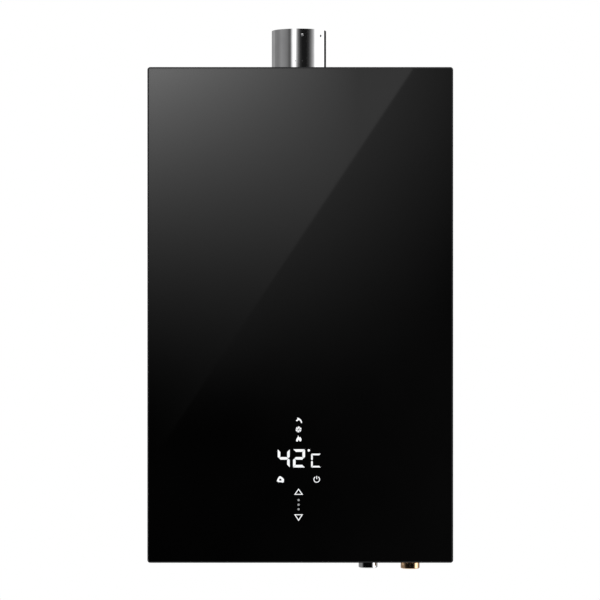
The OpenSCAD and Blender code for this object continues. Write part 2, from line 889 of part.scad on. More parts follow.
// Board with its digit block, light guides and touch pads
module touch_board() {
  x = display_x;
  z = display_z;
  half_w = window_w / 2 - loose_gap;
  half_h = window_h / 2 - loose_gap;
  front = glass_back_y + slip_gap / 2;
  color("#1d5c33") {
    box([x - half_w, x + half_w], [board_y, board_y + board_t], [z - half_h, z + half_h]);
    block_y(x + digits_x, [front, board_y], z + digits_z, digits_w, digits_h);
    for (dz = sign_zs)
      block_y(x, [front, board_y], z + dz, sign_w, sign_h);
    for (at = pad_ats)
      rod_y(x + at[0], [front, board_y], z + at[1], pad_r);
    block_y(x, [board_y + board_t, board_y + board_t + plug_d], z + plug_z, plug_w, plug_h);
    block_y(x, [board_y + board_t, board_y + board_t + chip_d], z + chip_h, chip_w, chip_h);
  }
}

module flue_screw_places() {
  for (a = flue_screw_angles)
    translate([flue_x + flue_screw_pcr * cos(a), flue_y + flue_screw_pcr * sin(a), 0]) children();
}

module flue_collar() {
  pin_r = damper_pin_d / 2 + run_gap;
  stop_z = damper_z - damper_t / 2 - loose_gap;
  color("lightgray")
    difference() {
      union() {
        translate([flue_x, flue_y, 0])
          rotate_extrude()
            polygon([
              [flue_bore_r, flue_base_z], [flue_flange_r, flue_base_z],
              [flue_flange_r, flue_base_z + flue_flange_t], [flue_r, flue_base_z + flue_flange_t],
              [flue_r, flue_rim_z], [flue_bore_r, flue_rim_z]
            ]);
        box([flue_x - damper_stop_w / 2, flue_x + damper_stop_w / 2],
          [flue_y - flue_r + flue_wall / 4, flue_y - flue_bore_r + damper_stop_l],
          [stop_z - damper_stop_t, stop_z]);
      }
      flue_screw_places()
        rod_z(0, 0, [flue_base_z - cut, flue_base_z + flue_flange_t + cut], screw_hole_r);
      for (a = rim_hole_angles)
        translate([flue_x, flue_y, flue_rim_z - rim_hole_drop])
          rotate([90, 0, a])
            translate([0, 0, flue_bore_r - 4]) cylinder(h = 8, r = rim_hole_d / 2);
      rod_x([flue_x - flue_r - cut, flue_x + flue_r + cut], damper_y, damper_z, pin_r);
    }
}

module flue_gasket() {
  color("#e8e4da")
    difference() {
      translate([flue_x, flue_y, 0])
        slab_z([top_z, flue_base_z]) ring(flue_flange_r, spigot_r + loose_gap);
      flue_screw_places() rod_z(0, 0, [top_z - cut, flue_base_z + cut], screw_hole_r);
    }
}

module flue_screws() {
  color("gainsboro")
    flue_screw_places()
      translate([0, 0, flue_base_z + flue_flange_t])
        mirror([0, 0, 1]) screw(screw_l + flue_gasket_t, screw_r, screw_head_r, screw_head_h);
}

// Butterfly flap that its heavier front half shuts against the stop
module damper_flap() {
  x = [flue_x - damper_barrel_l / 2, flue_x + damper_barrel_l / 2];
  color("darkgray")
    difference() {
      union() {
        rod_z(flue_x, flue_y, [damper_z - damper_t / 2, damper_z + damper_t / 2], damper_r);
        rod_x(x, damper_y, damper_z, damper_barrel_r);
      }
      rod_x([flue_x - flue_r, flue_x + flue_r], damper_y, damper_z, damper_pin_d / 2 + run_gap);
    }
}

module damper_pin() {
  half_l = sqrt(pow(flue_r, 2) - pow(damper_offset + damper_pin_d / 2, 2)) - 0.2;
  color("gray")
    rod_x([flue_x - half_l, flue_x + half_l], damper_y, damper_z, damper_pin_d / 2);
}

// Spiral outline of the fan: three quarter arcs and a straight side
module quarter(centre, r, x, y) {
  translate(centre)
    intersection() {
      circle(r = r);
      rect(x, y);
    }
}

module scroll(inset) {
  s = scroll_step;
  r1 = scroll_r - inset;
  r2 = scroll_r + s - inset;
  r3 = scroll_r + 2 * s - inset;
  translate([fan_x, fan_z]) {
    quarter([0, 0], r1, [0, r1], [0, r1]);
    quarter([-s, 0], r2, [0, r2], [-r2, 0]);
    quarter([-s, s], r3, [-r3, 0], [-r3, 0]);
    rect([-s - r3, -s], [s, r1]);
    rect([-s, 0], [0, r1]);
  }
}

module fan_lug_places() {
  for (lug = fan_lugs)
    translate([fan_x + lug[0][0], fan_z + lug[0][1]])
      rotate(lug[2]) translate([lug[1] + scroll_rim, 0]) children();
}

// Rim of the scroll with its screw lugs, kept below the outlet
module scroll_face() {
  difference() {
    union() {
      scroll(-scroll_rim);
      fan_lug_places() circle(r = fan_lug_r);
    }
    fan_lug_places() circle(r = fan_screw_r + slip_gap / 2);
    rect([fan_x - 2 * motor_d, fan_x + 2 * motor_d], [scroll_top_z - loose_gap, scroll_top_z + motor_d]);
  }
}

module fan_housing() {
  color("lightsteelblue")
    difference() {
      union() {
        slab_y([fan_front_y, fan_back_y]) scroll(0);
        slab_y([fan_front_y, fan_front_y + fan_flange_t]) scroll_face();
        rod_z(flue_x, flue_y, [scroll_top_z, scroll_top_z + outlet_disc_t], outlet_disc_r);
        rod_z(flue_x, flue_y, [scroll_top_z, spigot_top_z], spigot_r);
        rod_x([fan_x + scroll_r - sheet_t, fan_x + scroll_r + tap_l], flue_y, fan_z, tap_r);
      }
      slab_y([fan_front_y - cut, fan_back_y - sheet_t]) scroll(sheet_t);
      rod_y(fan_x, [fan_back_y - 2 * sheet_t, fan_back_y + cut], fan_z, fan_inlet_d / 2);
      box([flue_x - outlet_w / 2 + sheet_t, flue_x + outlet_w / 2 - sheet_t],
        [fan_front_y + sheet_t, fan_back_y - sheet_t],
        [scroll_top_z - 2 * sheet_t, scroll_top_z + outlet_disc_t]);
      rod_z(flue_x, flue_y, [scroll_top_z + outlet_disc_t, spigot_top_z + cut], spigot_r - flue_wall);
      rod_x([fan_x + scroll_r - 2 * sheet_t, fan_x + scroll_r + tap_l + cut], flue_y, fan_z, tap_r - 1);
    }
}

module fan_front_plate() {
  color("steelblue")
    slab_y([motor_y, fan_front_y])
      difference() {
        scroll_face();
        translate([fan_x, fan_z]) circle(r = bearing_r + 2);
      }
}

module fan_screws() {
  color("gainsboro")
    translate([0, motor_y, 0])
      rotate([90, 0, 0])
        fan_lug_places()
          mirror([0, 0, 1])
            screw(sheet_t + fan_flange_t + 2, fan_screw_r, fan_screw_head_r, fan_screw_head_h);
}

// Forward-curved centrifugal wheel, open towards the wall
module impeller() {
  inner_r = impeller_r - blade_l;
  color("slategray")
    difference() {
      union() {
        rod_y(fan_x, [impeller_front_y, impeller_front_y + impeller_plate_t], fan_z, impeller_r);
        rod_y(fan_x, [impeller_front_y, impeller_front_y + hub_l], fan_z, hub_r);
        slab_y([impeller_back_y - impeller_ring_t, impeller_back_y])
          translate([fan_x, fan_z]) ring(impeller_r, inner_r + 1);
        slab_y([impeller_front_y + impeller_plate_t / 2, impeller_back_y - impeller_ring_t / 2])
          translate([fan_x, fan_z])
            for (k = [0:blade_count - 1])
              rotate(k * 360 / blade_count)
                intersection() {
                  ring(impeller_r - 0.3, inner_r);
                  translate([inner_r + 2.2, blade_curve_r])
                    ring(blade_curve_r + blade_t / 2, blade_curve_r - blade_t / 2);
                  rect([inner_r - 4, impeller_r], [-3, blade_curve_r]);
                }
      }
      rod_y(fan_x, [impeller_front_y - cut, impeller_front_y + hub_l + cut], fan_z, shaft_r + run_gap / 2);
    }
}

module motor_body() {
  vent_count = 8;
  pocket_r = bearing_r + run_gap;
  color("gray")
    translate([fan_x, motor_y, fan_z])
      rotate([90, 0, 0])
        difference() {
          rotate_extrude()
            polygon([
              [pocket_r, 0], [motor_r, 0], [motor_r, motor_l - 4], [motor_r - 2.5, motor_l - 1.5],
              [bearing_r + 4, motor_l - 1.5], [bearing_r + 3, motor_l], [pocket_r, motor_l],
              [pocket_r, motor_l - bearing_w], [shaft_r + 2, motor_l - bearing_w],
              [shaft_r + 2, bearing_w], [pocket_r, bearing_w]
            ]);
          for (k = [0:vent_count - 1])
            rotate(k * 360 / vent_count)
              translate([motor_r - 10, 0, motor_l - 8]) cylinder(h = 10, r = 3);
        }
}

module motor_bearings() {
  color("silver")
    translate([fan_x, motor_y, fan_z])
      rotate([90, 0, 0])
        for (z = [0, motor_l - bearing_w])
          translate([0, 0, z])
            linear_extrude(height = bearing_w) ring(bearing_r, shaft_r + run_gap);
}

module motor_shaft() {
  color("silver")
    rod_y(fan_x, [motor_y - motor_l - 1, impeller_front_y + hub_l + 1], fan_z, shaft_r);
}

// Outlines of the smoke hood from the front and side, less an inset
module hood_front(inset, z0) {
  shoulder_z = fan_z - 46;
  polygon([
    [-hood_half_w + inset, z0], [hood_half_w - inset, z0],
    [hood_half_w - inset, hood_z + hood_skirt_h - inset], [fan_x + plenum_half_w - inset, shoulder_z - inset],
    [fan_x + plenum_half_w - inset, fan_z + plenum_half_w - inset],
    [fan_x - plenum_half_w + inset, fan_z + plenum_half_w - inset],
    [fan_x - plenum_half_w + inset, shoulder_z - inset], [-hood_half_w + inset, hood_z + hood_skirt_h - inset]
  ]);
}

module hood_side(inset, z0) {
  front = core_y - fin_box_d / 2;
  polygon([
    [plenum_back_y - inset, z0], [plenum_back_y - inset, fan_z + plenum_half_w - inset],
    [fan_back_y + inset, fan_z + plenum_half_w - inset], [fan_back_y + inset, scroll_bottom_z - 2 - inset],
    [front + inset, hood_z + hood_skirt_h - inset], [front + inset, z0]
  ]);
}

module exchanger_flange_plan() {
  half_w = fin_box_w / 2 + hood_flange_w;
  half_d = fin_box_d / 2 + hood_flange_w;
  difference() {
    rect([-half_w, half_w], [core_y - half_d, core_y + half_d]);
    rect([-fin_box_w / 2 + copper_t, fin_box_w / 2 - copper_t],
      [core_y - fin_box_d / 2 + copper_t, core_y + fin_box_d / 2 - copper_t]);
  }
}

module smoke_hood() {
  color("lightgray")
    difference() {
      union() {
        intersection() {
          slab_y([-case_d, 0]) hood_front(0, hood_z);
          slab_x([-case_w / 2, case_w / 2]) hood_side(0, hood_z);
        }
        slab_z([hood_z, hood_z + sheet_t]) exchanger_flange_plan();
      }
      intersection() {
        slab_y([-case_d, 0]) hood_front(sheet_t, hood_z - cut);
        slab_x([-case_w / 2, case_w / 2]) hood_side(sheet_t, hood_z - cut);
      }
      rod_y(fan_x, [fan_back_y - cut, fan_back_y + 2 * sheet_t], fan_z, fan_inlet_d / 2);
    }
}

module hood_gasket() {
  color("#e8e4da")
    slab_z([exch_top_z, hood_z]) exchanger_flange_plan();
}

// Copper box: fin box on top of the wider fire chamber
module combustion_chamber() {
  half_fin = fin_box_w / 2;
  flange_y = chamber_d / 2 + chamber_flange_w;
  color("#b87333")
    difference() {
      union() {
        box([-half_fin, half_fin], [core_y - fin_box_d / 2, core_y + fin_box_d / 2],
          [fin_z0 - copper_t, exch_top_z]);
        slab_z([chamber_z0, fin_z0])
          round_rect([-chamber_half_w, chamber_half_w], [chamber_front_y, chamber_back_y], chamber_corner_r);
        slab_z([exch_top_z - copper_t, exch_top_z]) exchanger_flange_plan();
        box([-chamber_half_w, chamber_half_w], [core_y - flange_y, core_y + flange_y],
          [chamber_z0, chamber_z0 + copper_t]);
      }
      box([-half_fin + copper_t, half_fin - copper_t],
        [core_y - fin_box_d / 2 + copper_t, core_y + fin_box_d / 2 - copper_t],
        [fin_z0 - 2 * copper_t, exch_top_z + cut]);
      slab_z([chamber_z0 - cut, fin_z0 - copper_t])
        round_rect([-chamber_half_w + copper_t, chamber_half_w - copper_t],
          [chamber_front_y + copper_t, chamber_back_y - copper_t], chamber_corner_r - copper_t);
      for (y = tube_ys)
        rod_x([-half_fin - cut, half_fin + cut], y, tube_z, tube_r + slip_gap / 2);
      for (x = electrode_xs)
        rod_y(x, [chamber_front_y - cut, chamber_front_y + 2 * copper_t], electrode_z,
          insulator_r + slip_gap);
    }
}

// Fins with their tube holes and a scalloped lower edge
module exchanger_fins() {
  half_d = fin_box_d / 2 - copper_t - slip_gap;
  pitch = (fin_box_w - 2 * copper_t) / (fin_count + 1);
  color("#c47a3d")
    for (k = [0:fin_count - 1])
      slab_x([(k - (fin_count - 1) / 2) * pitch - fin_t / 2, (k - (fin_count - 1) / 2) * pitch + fin_t / 2])
        difference() {
          rect([core_y - half_d, core_y + half_d], [tube_z - fin_h / 2, tube_z + fin_h / 2]);
          for (y = tube_ys)
            translate([y, tube_z]) circle(r = tube_r + slip_gap / 2);
          for (k = [0:tube_count - 2])
            translate([tube_ys[k] + tube_pitch / 2, tube_z - fin_h / 2]) circle(r = tube_pitch / 4);
        }
}

// Five passes through the fins joined by return bends
module exchanger_tubes() {
  ys = tube_ys;
  x = tube_corner_x;
  route = [
    [tube_end_x, ys[0], tube_z], [-x, ys[0], tube_z], [-x, ys[1], tube_z], [x, ys[1], tube_z],
    [x, ys[2], tube_z], [-x, ys[2], tube_z], [-x, ys[3], tube_z], [x, ys[3], tube_z],
    [x, ys[4], tube_z], [-tube_end_x, ys[4], tube_z]
  ];
  color("#b87333")
    pipe(route, tube_r, tube_r - pipe_wall, tube_pitch / 2);
}

// Cold pipe wound round the fire chamber, then up into the first pass
module chamber_coil() {
  x = cold_x;
  f = coil_y_front;
  b = coil_y_back;
  z1 = coil_z;
  z2 = coil_z + coil_pitch;
  z3 = coil_z + 2 * coil_pitch;
  route = [
    [x, port_y, coil_start_z], [x, port_y, z1], [x, f, z1], [-x, f, z1], [-x, b, z1],
    [coil_jog, b, z1], [coil_jog, b, z2], [x, b, z2], [x, f, z2], [-x, f, z2], [-x, b, z2],
    [-coil_jog, b, z2], [-coil_jog, b, z3], [x, b, z3], [x, tube_ys[0], z3],
    [x, tube_ys[0], tube_z], [tube_end_x, tube_ys[0], tube_z]
  ];
  color("#b87333")
    pipe(route, pipe_r, pipe_r - pipe_wall, bend_r);
}

module overheat_switch() {
  y = chamber_front_y;
  color("#3a3a3c") {
    rod_y(overheat_x, [y - 7, y], overheat_z, overheat_r);
    for (x = [overheat_x - overheat_r / 2, overheat_x + overheat_r / 2])
      box([x - 0.4, x + 0.4], [y - 14, y - 7], [overheat_z - 2.4, overheat_z + 2.4]);
  }
}

// Steel tray that carries the burner bars under the fire chamber
module burner_frame() {
  flange_y = chamber_d / 2 + chamber_flange_w;
  color("silver")
    difference() {
      union() {
        box([-burner_half_w, burner_half_w], [burner_front_y, burner_back_y], [burner_z0, chamber_z0]);
        box([-chamber_half_w, chamber_half_w], [core_y - flange_y, core_y + flange_y],
          [chamber_z0 - burner_t, chamber_z0]);
      }
      box([-burner_half_w + burner_t, burner_half_w - burner_t],
        [burner_front_y + burner_t, burner_back_y - burner_t], [bar_foot_z, chamber_z0 + cut]);
      for (x = bar_xs)
        rod_y(x, [burner_front_y - cut, burner_front_y + 2 * burner_t], mouth_z, mouth_r + slip_gap);
      for (k = [0:bar_count - 2])
        box([bar_xs[k] + bar_pitch / 2 - 2, bar_xs[k] + bar_pitch / 2 + 2],
          [burner_front_y + 12, burner_back_y - 12], [burner_z0 - cut, bar_foot_z + cut]);
    }
}

// One pressed bar: a deep hollow blade with a mouth in front and ports along its top
module burner_bar() {
  mid_y = (bar_front_y + bar_back_y) / 2;
  s = bar_shell;
  ports_l = bar_back_y - bar_front_y - 12;
  difference() {
    union() {
      slab_x([-bar_t / 2, bar_t / 2])
        polygon([
          [bar_front_y, bar_foot_z], [mid_y, bar_foot_z], [bar_back_y, bar_foot_z + 18],
          [bar_back_y, bar_top_z], [bar_front_y, bar_top_z]
        ]);
      rod_y(0, [mouth_y, bar_front_y + 4], mouth_z, mouth_r);
    }
    slab_x([-bar_t / 2 + s, bar_t / 2 - s])
      polygon([
        [bar_front_y + s, bar_foot_z + s], [mid_y - s, bar_foot_z + s], [bar_back_y - s, bar_foot_z + 18 + s],
        [bar_back_y - s, bar_top_z - s], [bar_front_y + s, bar_top_z - s]
      ]);
    rod_y(0, [mouth_y - cut, bar_front_y + 3], mouth_z, mouth_bore_r);
    for (k = [0:port_count - 1])
      translate([0, bar_front_y + 6 + ports_l * (k + 0.5) / port_count, 0])
        box([-bar_t, bar_t], [-port_w / 2, port_w / 2], [bar_top_z - 5, bar_top_z + cut]);
  }
}

module burner_bars() {
  color("lightgray")
    for (x = bar_xs)
      translate([x, 0, 0]) burner_bar();
}

// Gas rail across the burner, held on the burner tray by a lug at each end
module gas_manifold() {
  h = manifold_d / 2;
  color("gainsboro")
    difference() {
      union() {
        box([-manifold_half_w, manifold_half_w], [manifold_back_y - manifold_d, manifold_back_y],
          [mouth_z - h, mouth_z + h]);
        for (x = [-manifold_half_w, manifold_half_w - manifold_lug_w])
          box([x, x + manifold_lug_w], [manifold_back_y - h, burner_front_y],
            [mouth_z - h + 2, mouth_z + h - 2]);
        rod_z(main_x, manifold_y, [mouth_z - h - manifold_boss_h, mouth_z - h + 1], gas_pipe_r + 2);
      }
      rod_x([-manifold_half_w + 3, manifold_half_w - 3], manifold_y, mouth_z, manifold_bore_r);
      for (x = bar_xs)
        rod_y(x, [manifold_y, manifold_back_y + cut], mouth_z, nozzle_thread_r + run_gap);
      rod_z(main_x, manifold_y, [mouth_z - h - manifold_boss_h - cut, mouth_z - h],
        gas_pipe_r + slip_gap / 2);
      rod_z(main_x, manifold_y, [mouth_z - h - cut, mouth_z], manifold_bore_r - 0.5);
    }
}

module gas_nozzles() {
  color("#b5a642")
    for (x = bar_xs)
      translate([x, manifold_back_y, mouth_z])
        rotate([-90, 0, 0])
          rotate_extrude()
            polygon([
              [nozzle_bore_r, -4], [nozzle_thread_r, -4], [nozzle_thread_r, 0], [nozzle_r, 0],
              [nozzle_r, nozzle_l - 3], [nozzle_r - 1.5, nozzle_l], [nozzle_bore_r, nozzle_l]
            ]);
}

// Two spark rods and the flame sensor in ceramic sleeves through the chamber's front
module electrode_insulators() {
  color("white")
    for (x = electrode_xs)
      slab_y([chamber_front_y - insulator_front, chamber_front_y + insulator_back])
        translate([x, electrode_z]) ring(insulator_r, rod_r + run_gap);
}

module electrode_rods() {
  y0 = chamber_front_y - insulator_front - rod_tail;
  y1 = chamber_front_y + insulator_back + rod_reach;
  color("silver")
    for (x = electrode_xs)
      pipe([[x, y0, electrode_z], [x, y1, electrode_z], [x, y1, electrode_z - rod_drop]],
        rod_r, rod_r / 4, rod_bend_r);
}

module electrode_plate() {
  y = chamber_front_y;
  x = [spark_xs[0] - electrode_plate_end, sensor_x + electrode_plate_end];
  z = [electrode_z - electrode_plate_h / 2, electrode_z + electrode_plate_h / 2];
  color("silver")
    slab_y([y - electrode_plate_t, y])
      difference() {
        round_rect(x, z, electrode_plate_r);
        for (x = electrode_xs)
          translate([x, electrode_z]) circle(r = insulator_r + run_gap);
      }
}

// Brackets that hold the chamber and the hood off the back plate
module bracket(x, z, h, reach) {
  box([x - bracket_w / 2, x + bracket_w / 2], [-sheet_t - bracket_t, -sheet_t], [z - h, z + h]);
  box([x - bracket_w / 2, x + bracket_w / 2], [-reach, -sheet_t], [z - bracket_t / 2, z + bracket_t / 2]);
  box([x - bracket_w / 2, x + bracket_w / 2], [-reach, -reach + bracket_t], [z - h / 2, z + h / 2]);
}

module chamber_brackets() {
  color("silver") {
    for (x = [-bracket_x, bracket_x])
      bracket(x, (chamber_z0 + coil_z - pipe_r) / 2, chamber_bracket_h / 2, -chamber_back_y);
    bracket(fan_x, hood_bracket_z, chamber_bracket_h, -plenum_back_y);
  }
}

// Gas valve block with its drilled ways and seats
module gas_valve_body() {
  way_r = seat_bore_r;
  color("lightgray")
    difference() {
      union() {
        box([valve_x0, valve_x1], [valve_front_y, valve_back_y], [valve_z0, valve_z1]);
        rod_z(main_x, valve_way_y, [valve_z1, valve_z1 + gas_outlet_h], gas_pipe_r + 3);
      }
      rod_z(gas_x, port_y, [valve_z0 - cut, valve_z0 + 8], valve_inlet_r);
      rod_z(gas_x, port_y, [valve_z0, valve_z], way_r);
      rod_y(gas_x, [port_y, valve_way_y], valve_z, way_r);
      rod_x([shutoff_x, gas_x], valve_way_y, valve_z, way_r - 1);
      for (x = [shutoff_x, main_x]) {
        rod_y(x, [valve_front_y - cut, seat_y], valve_z, valve_chamber_r);
        rod_y(x, [seat_y - cut, valve_way_y], valve_z, way_r);
      }
      rod_x([shutoff_x, main_x], valve_front_y + 5, valve_z, way_r - 1.5);
      rod_z(main_x, valve_way_y, [valve_z, valve_z1 + gas_outlet_h], way_r);
      rod_z(main_x, valve_way_y, [valve_z1 + 2, valve_z1 + gas_outlet_h + cut], gas_pipe_r + slip_gap / 2);
      rod_x([valve_x0 - cut, modulator_seat_x], modulator_y, valve_z, valve_chamber_r);
    }
}

// Steel gas connection with a hexagon above the floor and a spigot into the valve
module gas_nipple() {
  color("lightgray")
    difference() {
      union() {
        rod_z(gas_x, port_y, [gas_end_z, floor_in_z], thread_r);
        translate([gas_x, port_y, 0])
          slab_z([floor_in_z, valve_z0]) hexagon(nipple_hex);
        rod_z(gas_x, port_y, [valve_z0 - cut, valve_z0 + 7], valve_inlet_r - run_gap);
      }
      rod_z(gas_x, port_y, [gas_end_z - cut, valve_z0 + 8], nipple_bore_r);
    }
}

module solenoid_coils() {
  y0 = valve_front_y - solenoid_l;
  color("#2b2b2b")
    for (x = [shutoff_x, main_x])
      difference() {
        union() {
          rod_y(x, [y0, valve_front_y], valve_z, solenoid_r - 1.5);
          rod_y(x, [y0 + 4, valve_front_y - 6], valve_z, solenoid_r);
          box([x - solenoid_r, x + solenoid_r], [valve_front_y - 2, valve_front_y],
            [valve_z - solenoid_r, valve_z + solenoid_r]);
          box([x - 6, x + 6], [y0 + 4, y0 + 14], [valve_z, valve_z + solenoid_r + 5]);
        }
        rod_y(x, [y0 + solenoid_end, valve_front_y + cut], valve_z, plunger_r + run_gap);
      }
}

// Iron plunger with its sealing disc
module plunger(x) {
  head_y = seat_y - slip_gap;
  tail_y = valve_front_y - solenoid_l + solenoid_end + plunger_travel + plunger_rest;
  rod_y(x, [head_y - plunger_head_t, head_y], valve_z, plunger_head_r);
  rod_y(x, [tail_y, head_y - 1], valve_z, plunger_r);
}

module shutoff_plunger() {
  color("dimgray") plunger(shutoff_x);
}

module main_plunger() {
  color("dimgray") plunger(main_x);
}

module modulator_coil() {
  x0 = valve_x0 - modulator_l;
  color("#2b2b2b")
    difference() {
      union() {
        rod_x([x0, valve_x0], modulator_y, valve_z, modulator_r - 2);
        rod_x([x0 + 3, valve_x0 - 5], modulator_y, valve_z, modulator_r);
        box([valve_x0 - 2, valve_x0], [modulator_y - modulator_r, modulator_y + modulator_r],
          [valve_z - modulator_r, valve_z + modulator_r]);
      }
      rod_x([x0 + 2, valve_x0 + cut], modulator_y, valve_z, modulator_plunger_r + run_gap);
    }
}

module modulator_plunger() {
  head_x = modulator_seat_x - slip_gap;
  color("dimgray") {
    rod_x([head_x - modulator_head_t, head_x], modulator_y, valve_z, modulator_head_r);
    rod_x([head_x - modulator_head_t - modulator_plunger_l - modulator_travel, head_x - 1],
      modulator_y, valve_z, modulator_plunger_r);
  }
}

module gas_pipe() {
  route = [
    [main_x, valve_way_y, valve_z1 + 2], [main_x, valve_way_y, gas_level_z],
    [main_x, manifold_y, gas_level_z], [main_x, manifold_y, mouth_z - manifold_d / 2]
  ];
  color("gainsboro")
    pipe(route, gas_pipe_r, gas_pipe_r - gas_pipe_wall, bend_r);
}

// Round rod on the axis of the cold inlet
module cold_rod(z, r) {
  rod_z(cold_x, port_y, z, r);
}

// Brass inlet with the flow turbine's chamber above its thread and the drain port in front
module water_valve_body() {
  color("#b5a642")
    difference() {
      union() {
        cold_rod([cold_end_z, floor_in_z + 1], thread_r);
        cold_rod([floor_in_z, floor_in_z + water_flange_h], water_flange_r);
        cold_rod([floor_in_z + 1, turbine_z1 + 4], water_body_r);
        cold_rod([turbine_z1, water_top_z], pipe_r + 4);
        box([cold_x - drain_r - 2, cold_x + drain_r + 2], [drain_y, port_y],
          [drain_boss_z0, drain_boss_z0 + drain_bore_l + 4]);
        rod_z(cold_x, drain_y, [drain_boss_z0, drain_boss_z0 + drain_bore_l + 4], drain_boss_r);
      }
      cold_rod([cold_end_z - cut, turbine_z1], water_bore_r);
      cold_rod([turbine_z1 - cut, water_top_z], way_r);
      cold_rod([water_top_z - socket_l, water_top_z + cut], socket_r);
      rod_z(cold_x, drain_y, [drain_boss_z0 - cut, drain_boss_z0 + drain_bore_l], drain_r);
      rod_y(cold_x, [drain_y, port_y], drain_boss_z0 + drain_bore_l - 3, 3);
    }
}

module inlet_filter() {
  slots = 10;
  outer_r = water_bore_r - slip_gap / 2;
  color("whitesmoke")
    difference() {
      cold_rod([filter_z0, filter_z0 + filter_l], outer_r);
      cold_rod([filter_z0 - cut, filter_z0 + filter_l - filter_wall], outer_r - filter_wall);
      for (k = [0:slots / 2 - 1])
        translate([cold_x, port_y, 0])
          rotate(k * 360 / slots)
            box([-water_bore_r - cut, water_bore_r + cut], [-filter_slot_w / 2, filter_slot_w / 2],
              [filter_z0 + filter_rim, filter_z0 + filter_l - filter_rim]);
    }
}

// Axle of the flow turbine with a three-armed spider at each end
module turbine_axle() {
  arm_w = 1.6;
  ring_r = water_bore_r - run_gap;
  color("whitesmoke") {
    for (z = [turbine_z0, turbine_z1 - spider_h])
      translate([cold_x, port_y, z])
        linear_extrude(height = spider_h) {
          ring(ring_r, ring_r - 1.2);
          circle(r = turbine_hub_r - 0.6);
          for (k = [0:2])
            rotate(k * 120) rect([0, ring_r - 0.6], [-arm_w / 2, arm_w / 2]);
        }
    cold_rod([turbine_z0, turbine_z1], axle_r);
  }
}

module flow_turbine() {
  z0 = turbine_z0 + spider_h + loose_gap;
  z1 = turbine_z1 - spider_h - loose_gap;
  blade_h = z1 - z0 - 3;
  color("royalblue")
    difference() {
      union() {
        cold_rod([z0, z1], turbine_hub_r);
        intersection() {
          cold_rod([z0 + 1, z1 - 1], turbine_r);
          for (k = [0:turbine_blades - 1])
            translate([cold_x, port_y, (z0 + z1) / 2])
              rotate([0, 0, k * 360 / turbine_blades])
                rotate([35, 0, 0])
                  box([0, turbine_r + cut], [-0.5, 0.5], [-blade_h / 2 - 1, blade_h / 2 + 1]);
        }
      }
      cold_rod([z0 - cut, z1 + cut], axle_r + run_gap);
    }
}

module flow_sensor() {
  z = (turbine_z0 + turbine_z1) / 2;
  color("#2b2b2b")
    difference() {
      union() {
        box([cold_x + water_body_r - 5, cold_x + water_body_r + 8], [port_y - 9, port_y + 9], [z - 8, z + 8]);
        box([cold_x + water_body_r, cold_x + water_body_r + 12], [port_y - 5, port_y + 5], [z - 4, z + 5]);
      }
      cold_rod([z - 10, z + 10], water_body_r + slip_gap / 2);
    }
}

// Drain plug with a gripped head below the floor and a groove for its seal
module drain_plug() {
  head_z1 = floor_z - loose_gap;
  shank_z1 = head_z1 + drain_shank_l;
  color("#2f2f31")
    difference() {
      union() {
        rod_z(cold_x, drain_y, [head_z1 - drain_head_h, head_z1], drain_head_d / 2);
        rod_z(cold_x, drain_y, [head_z1 - 1, shank_z1], drain_shank_r);
      }
      translate([cold_x, drain_y, 0])
        slab_z([seal_z - seal_wire_r - run_gap, seal_z + seal_wire_r + run_gap])
          ring(drain_r + 1, seal_r - seal_wire_r - run_gap);
      for (k = [0:drain_grips - 1])
        translate([cold_x, drain_y, 0])
          rotate(k * 360 / drain_grips)
            rod_z(drain_head_d / 2 + 0.6, 0, [head_z1 - drain_head_h - cut, head_z1 + 0.1], 1.3);
    }
}

module drain_seal() {
  color("#151515")
    translate([cold_x, drain_y, seal_z])
      rotate_extrude() translate([seal_r, 0]) circle(r = seal_wire_r);
}

module cold_pipe() {
  route = [[cold_x, port_y, water_top_z - socket_l], [cold_x, port_y, coil_start_z]];
  color("#b87333")
    pipe(route, pipe_r, pipe_r - pipe_wall, bend_r);
}

module hot_pipe() {
  route = [
    [-tube_end_x, hot_y, tube_z], [hot_x, hot_y, tube_z], [hot_x, hot_y, hot_jog_z],
    [hot_x, port_y, hot_jog_z], [hot_x, port_y, floor_in_z + fitting_h - socket_l]
  ];
  color("#b87333")
    pipe(route, pipe_r, pipe_r - pipe_wall, bend_r);
}

module hot_fitting() {
  color("#b5a642")
    difference() {
      union() {
        rod_z(hot_x, port_y, [hot_end_z, floor_in_z + 1], thread_r);
        translate([hot_x, port_y, 0])
          slab_z([floor_in_z, floor_in_z + fitting_h - 6]) hexagon(fitting_hex);
        rod_z(hot_x, port_y, [floor_in_z, floor_in_z + fitting_h], pipe_r + 4);
      }
      rod_z(hot_x, port_y, [hot_end_z - cut, floor_in_z + 2], water_bore_r);
      rod_z(hot_x, port_y, [hot_end_z, floor_in_z + fitting_h], way_r);
      rod_z(hot_x, port_y, [floor_in_z + fitting_h - socket_l, floor_in_z + fitting_h + cut], socket_r);
    }
}

// Union nuts round the pipe joints
module pipe_nut() {
  linear_extrude(height = nut_l)
    difference() {
      rotate(30) hexagon(nut_flats);
      circle(r = pipe_r + slip_gap / 2);
    }
}

module pipe_nuts() {
  color("#b5a642") {
    translate([cold_x, port_y, water_top_z]) pipe_nut();
    translate([cold_x, port_y, coil_start_z - nut_l / 2]) pipe_nut();
    translate([hot_x, port_y, floor_in_z + fitting_h]) pipe_nut();
  }
}

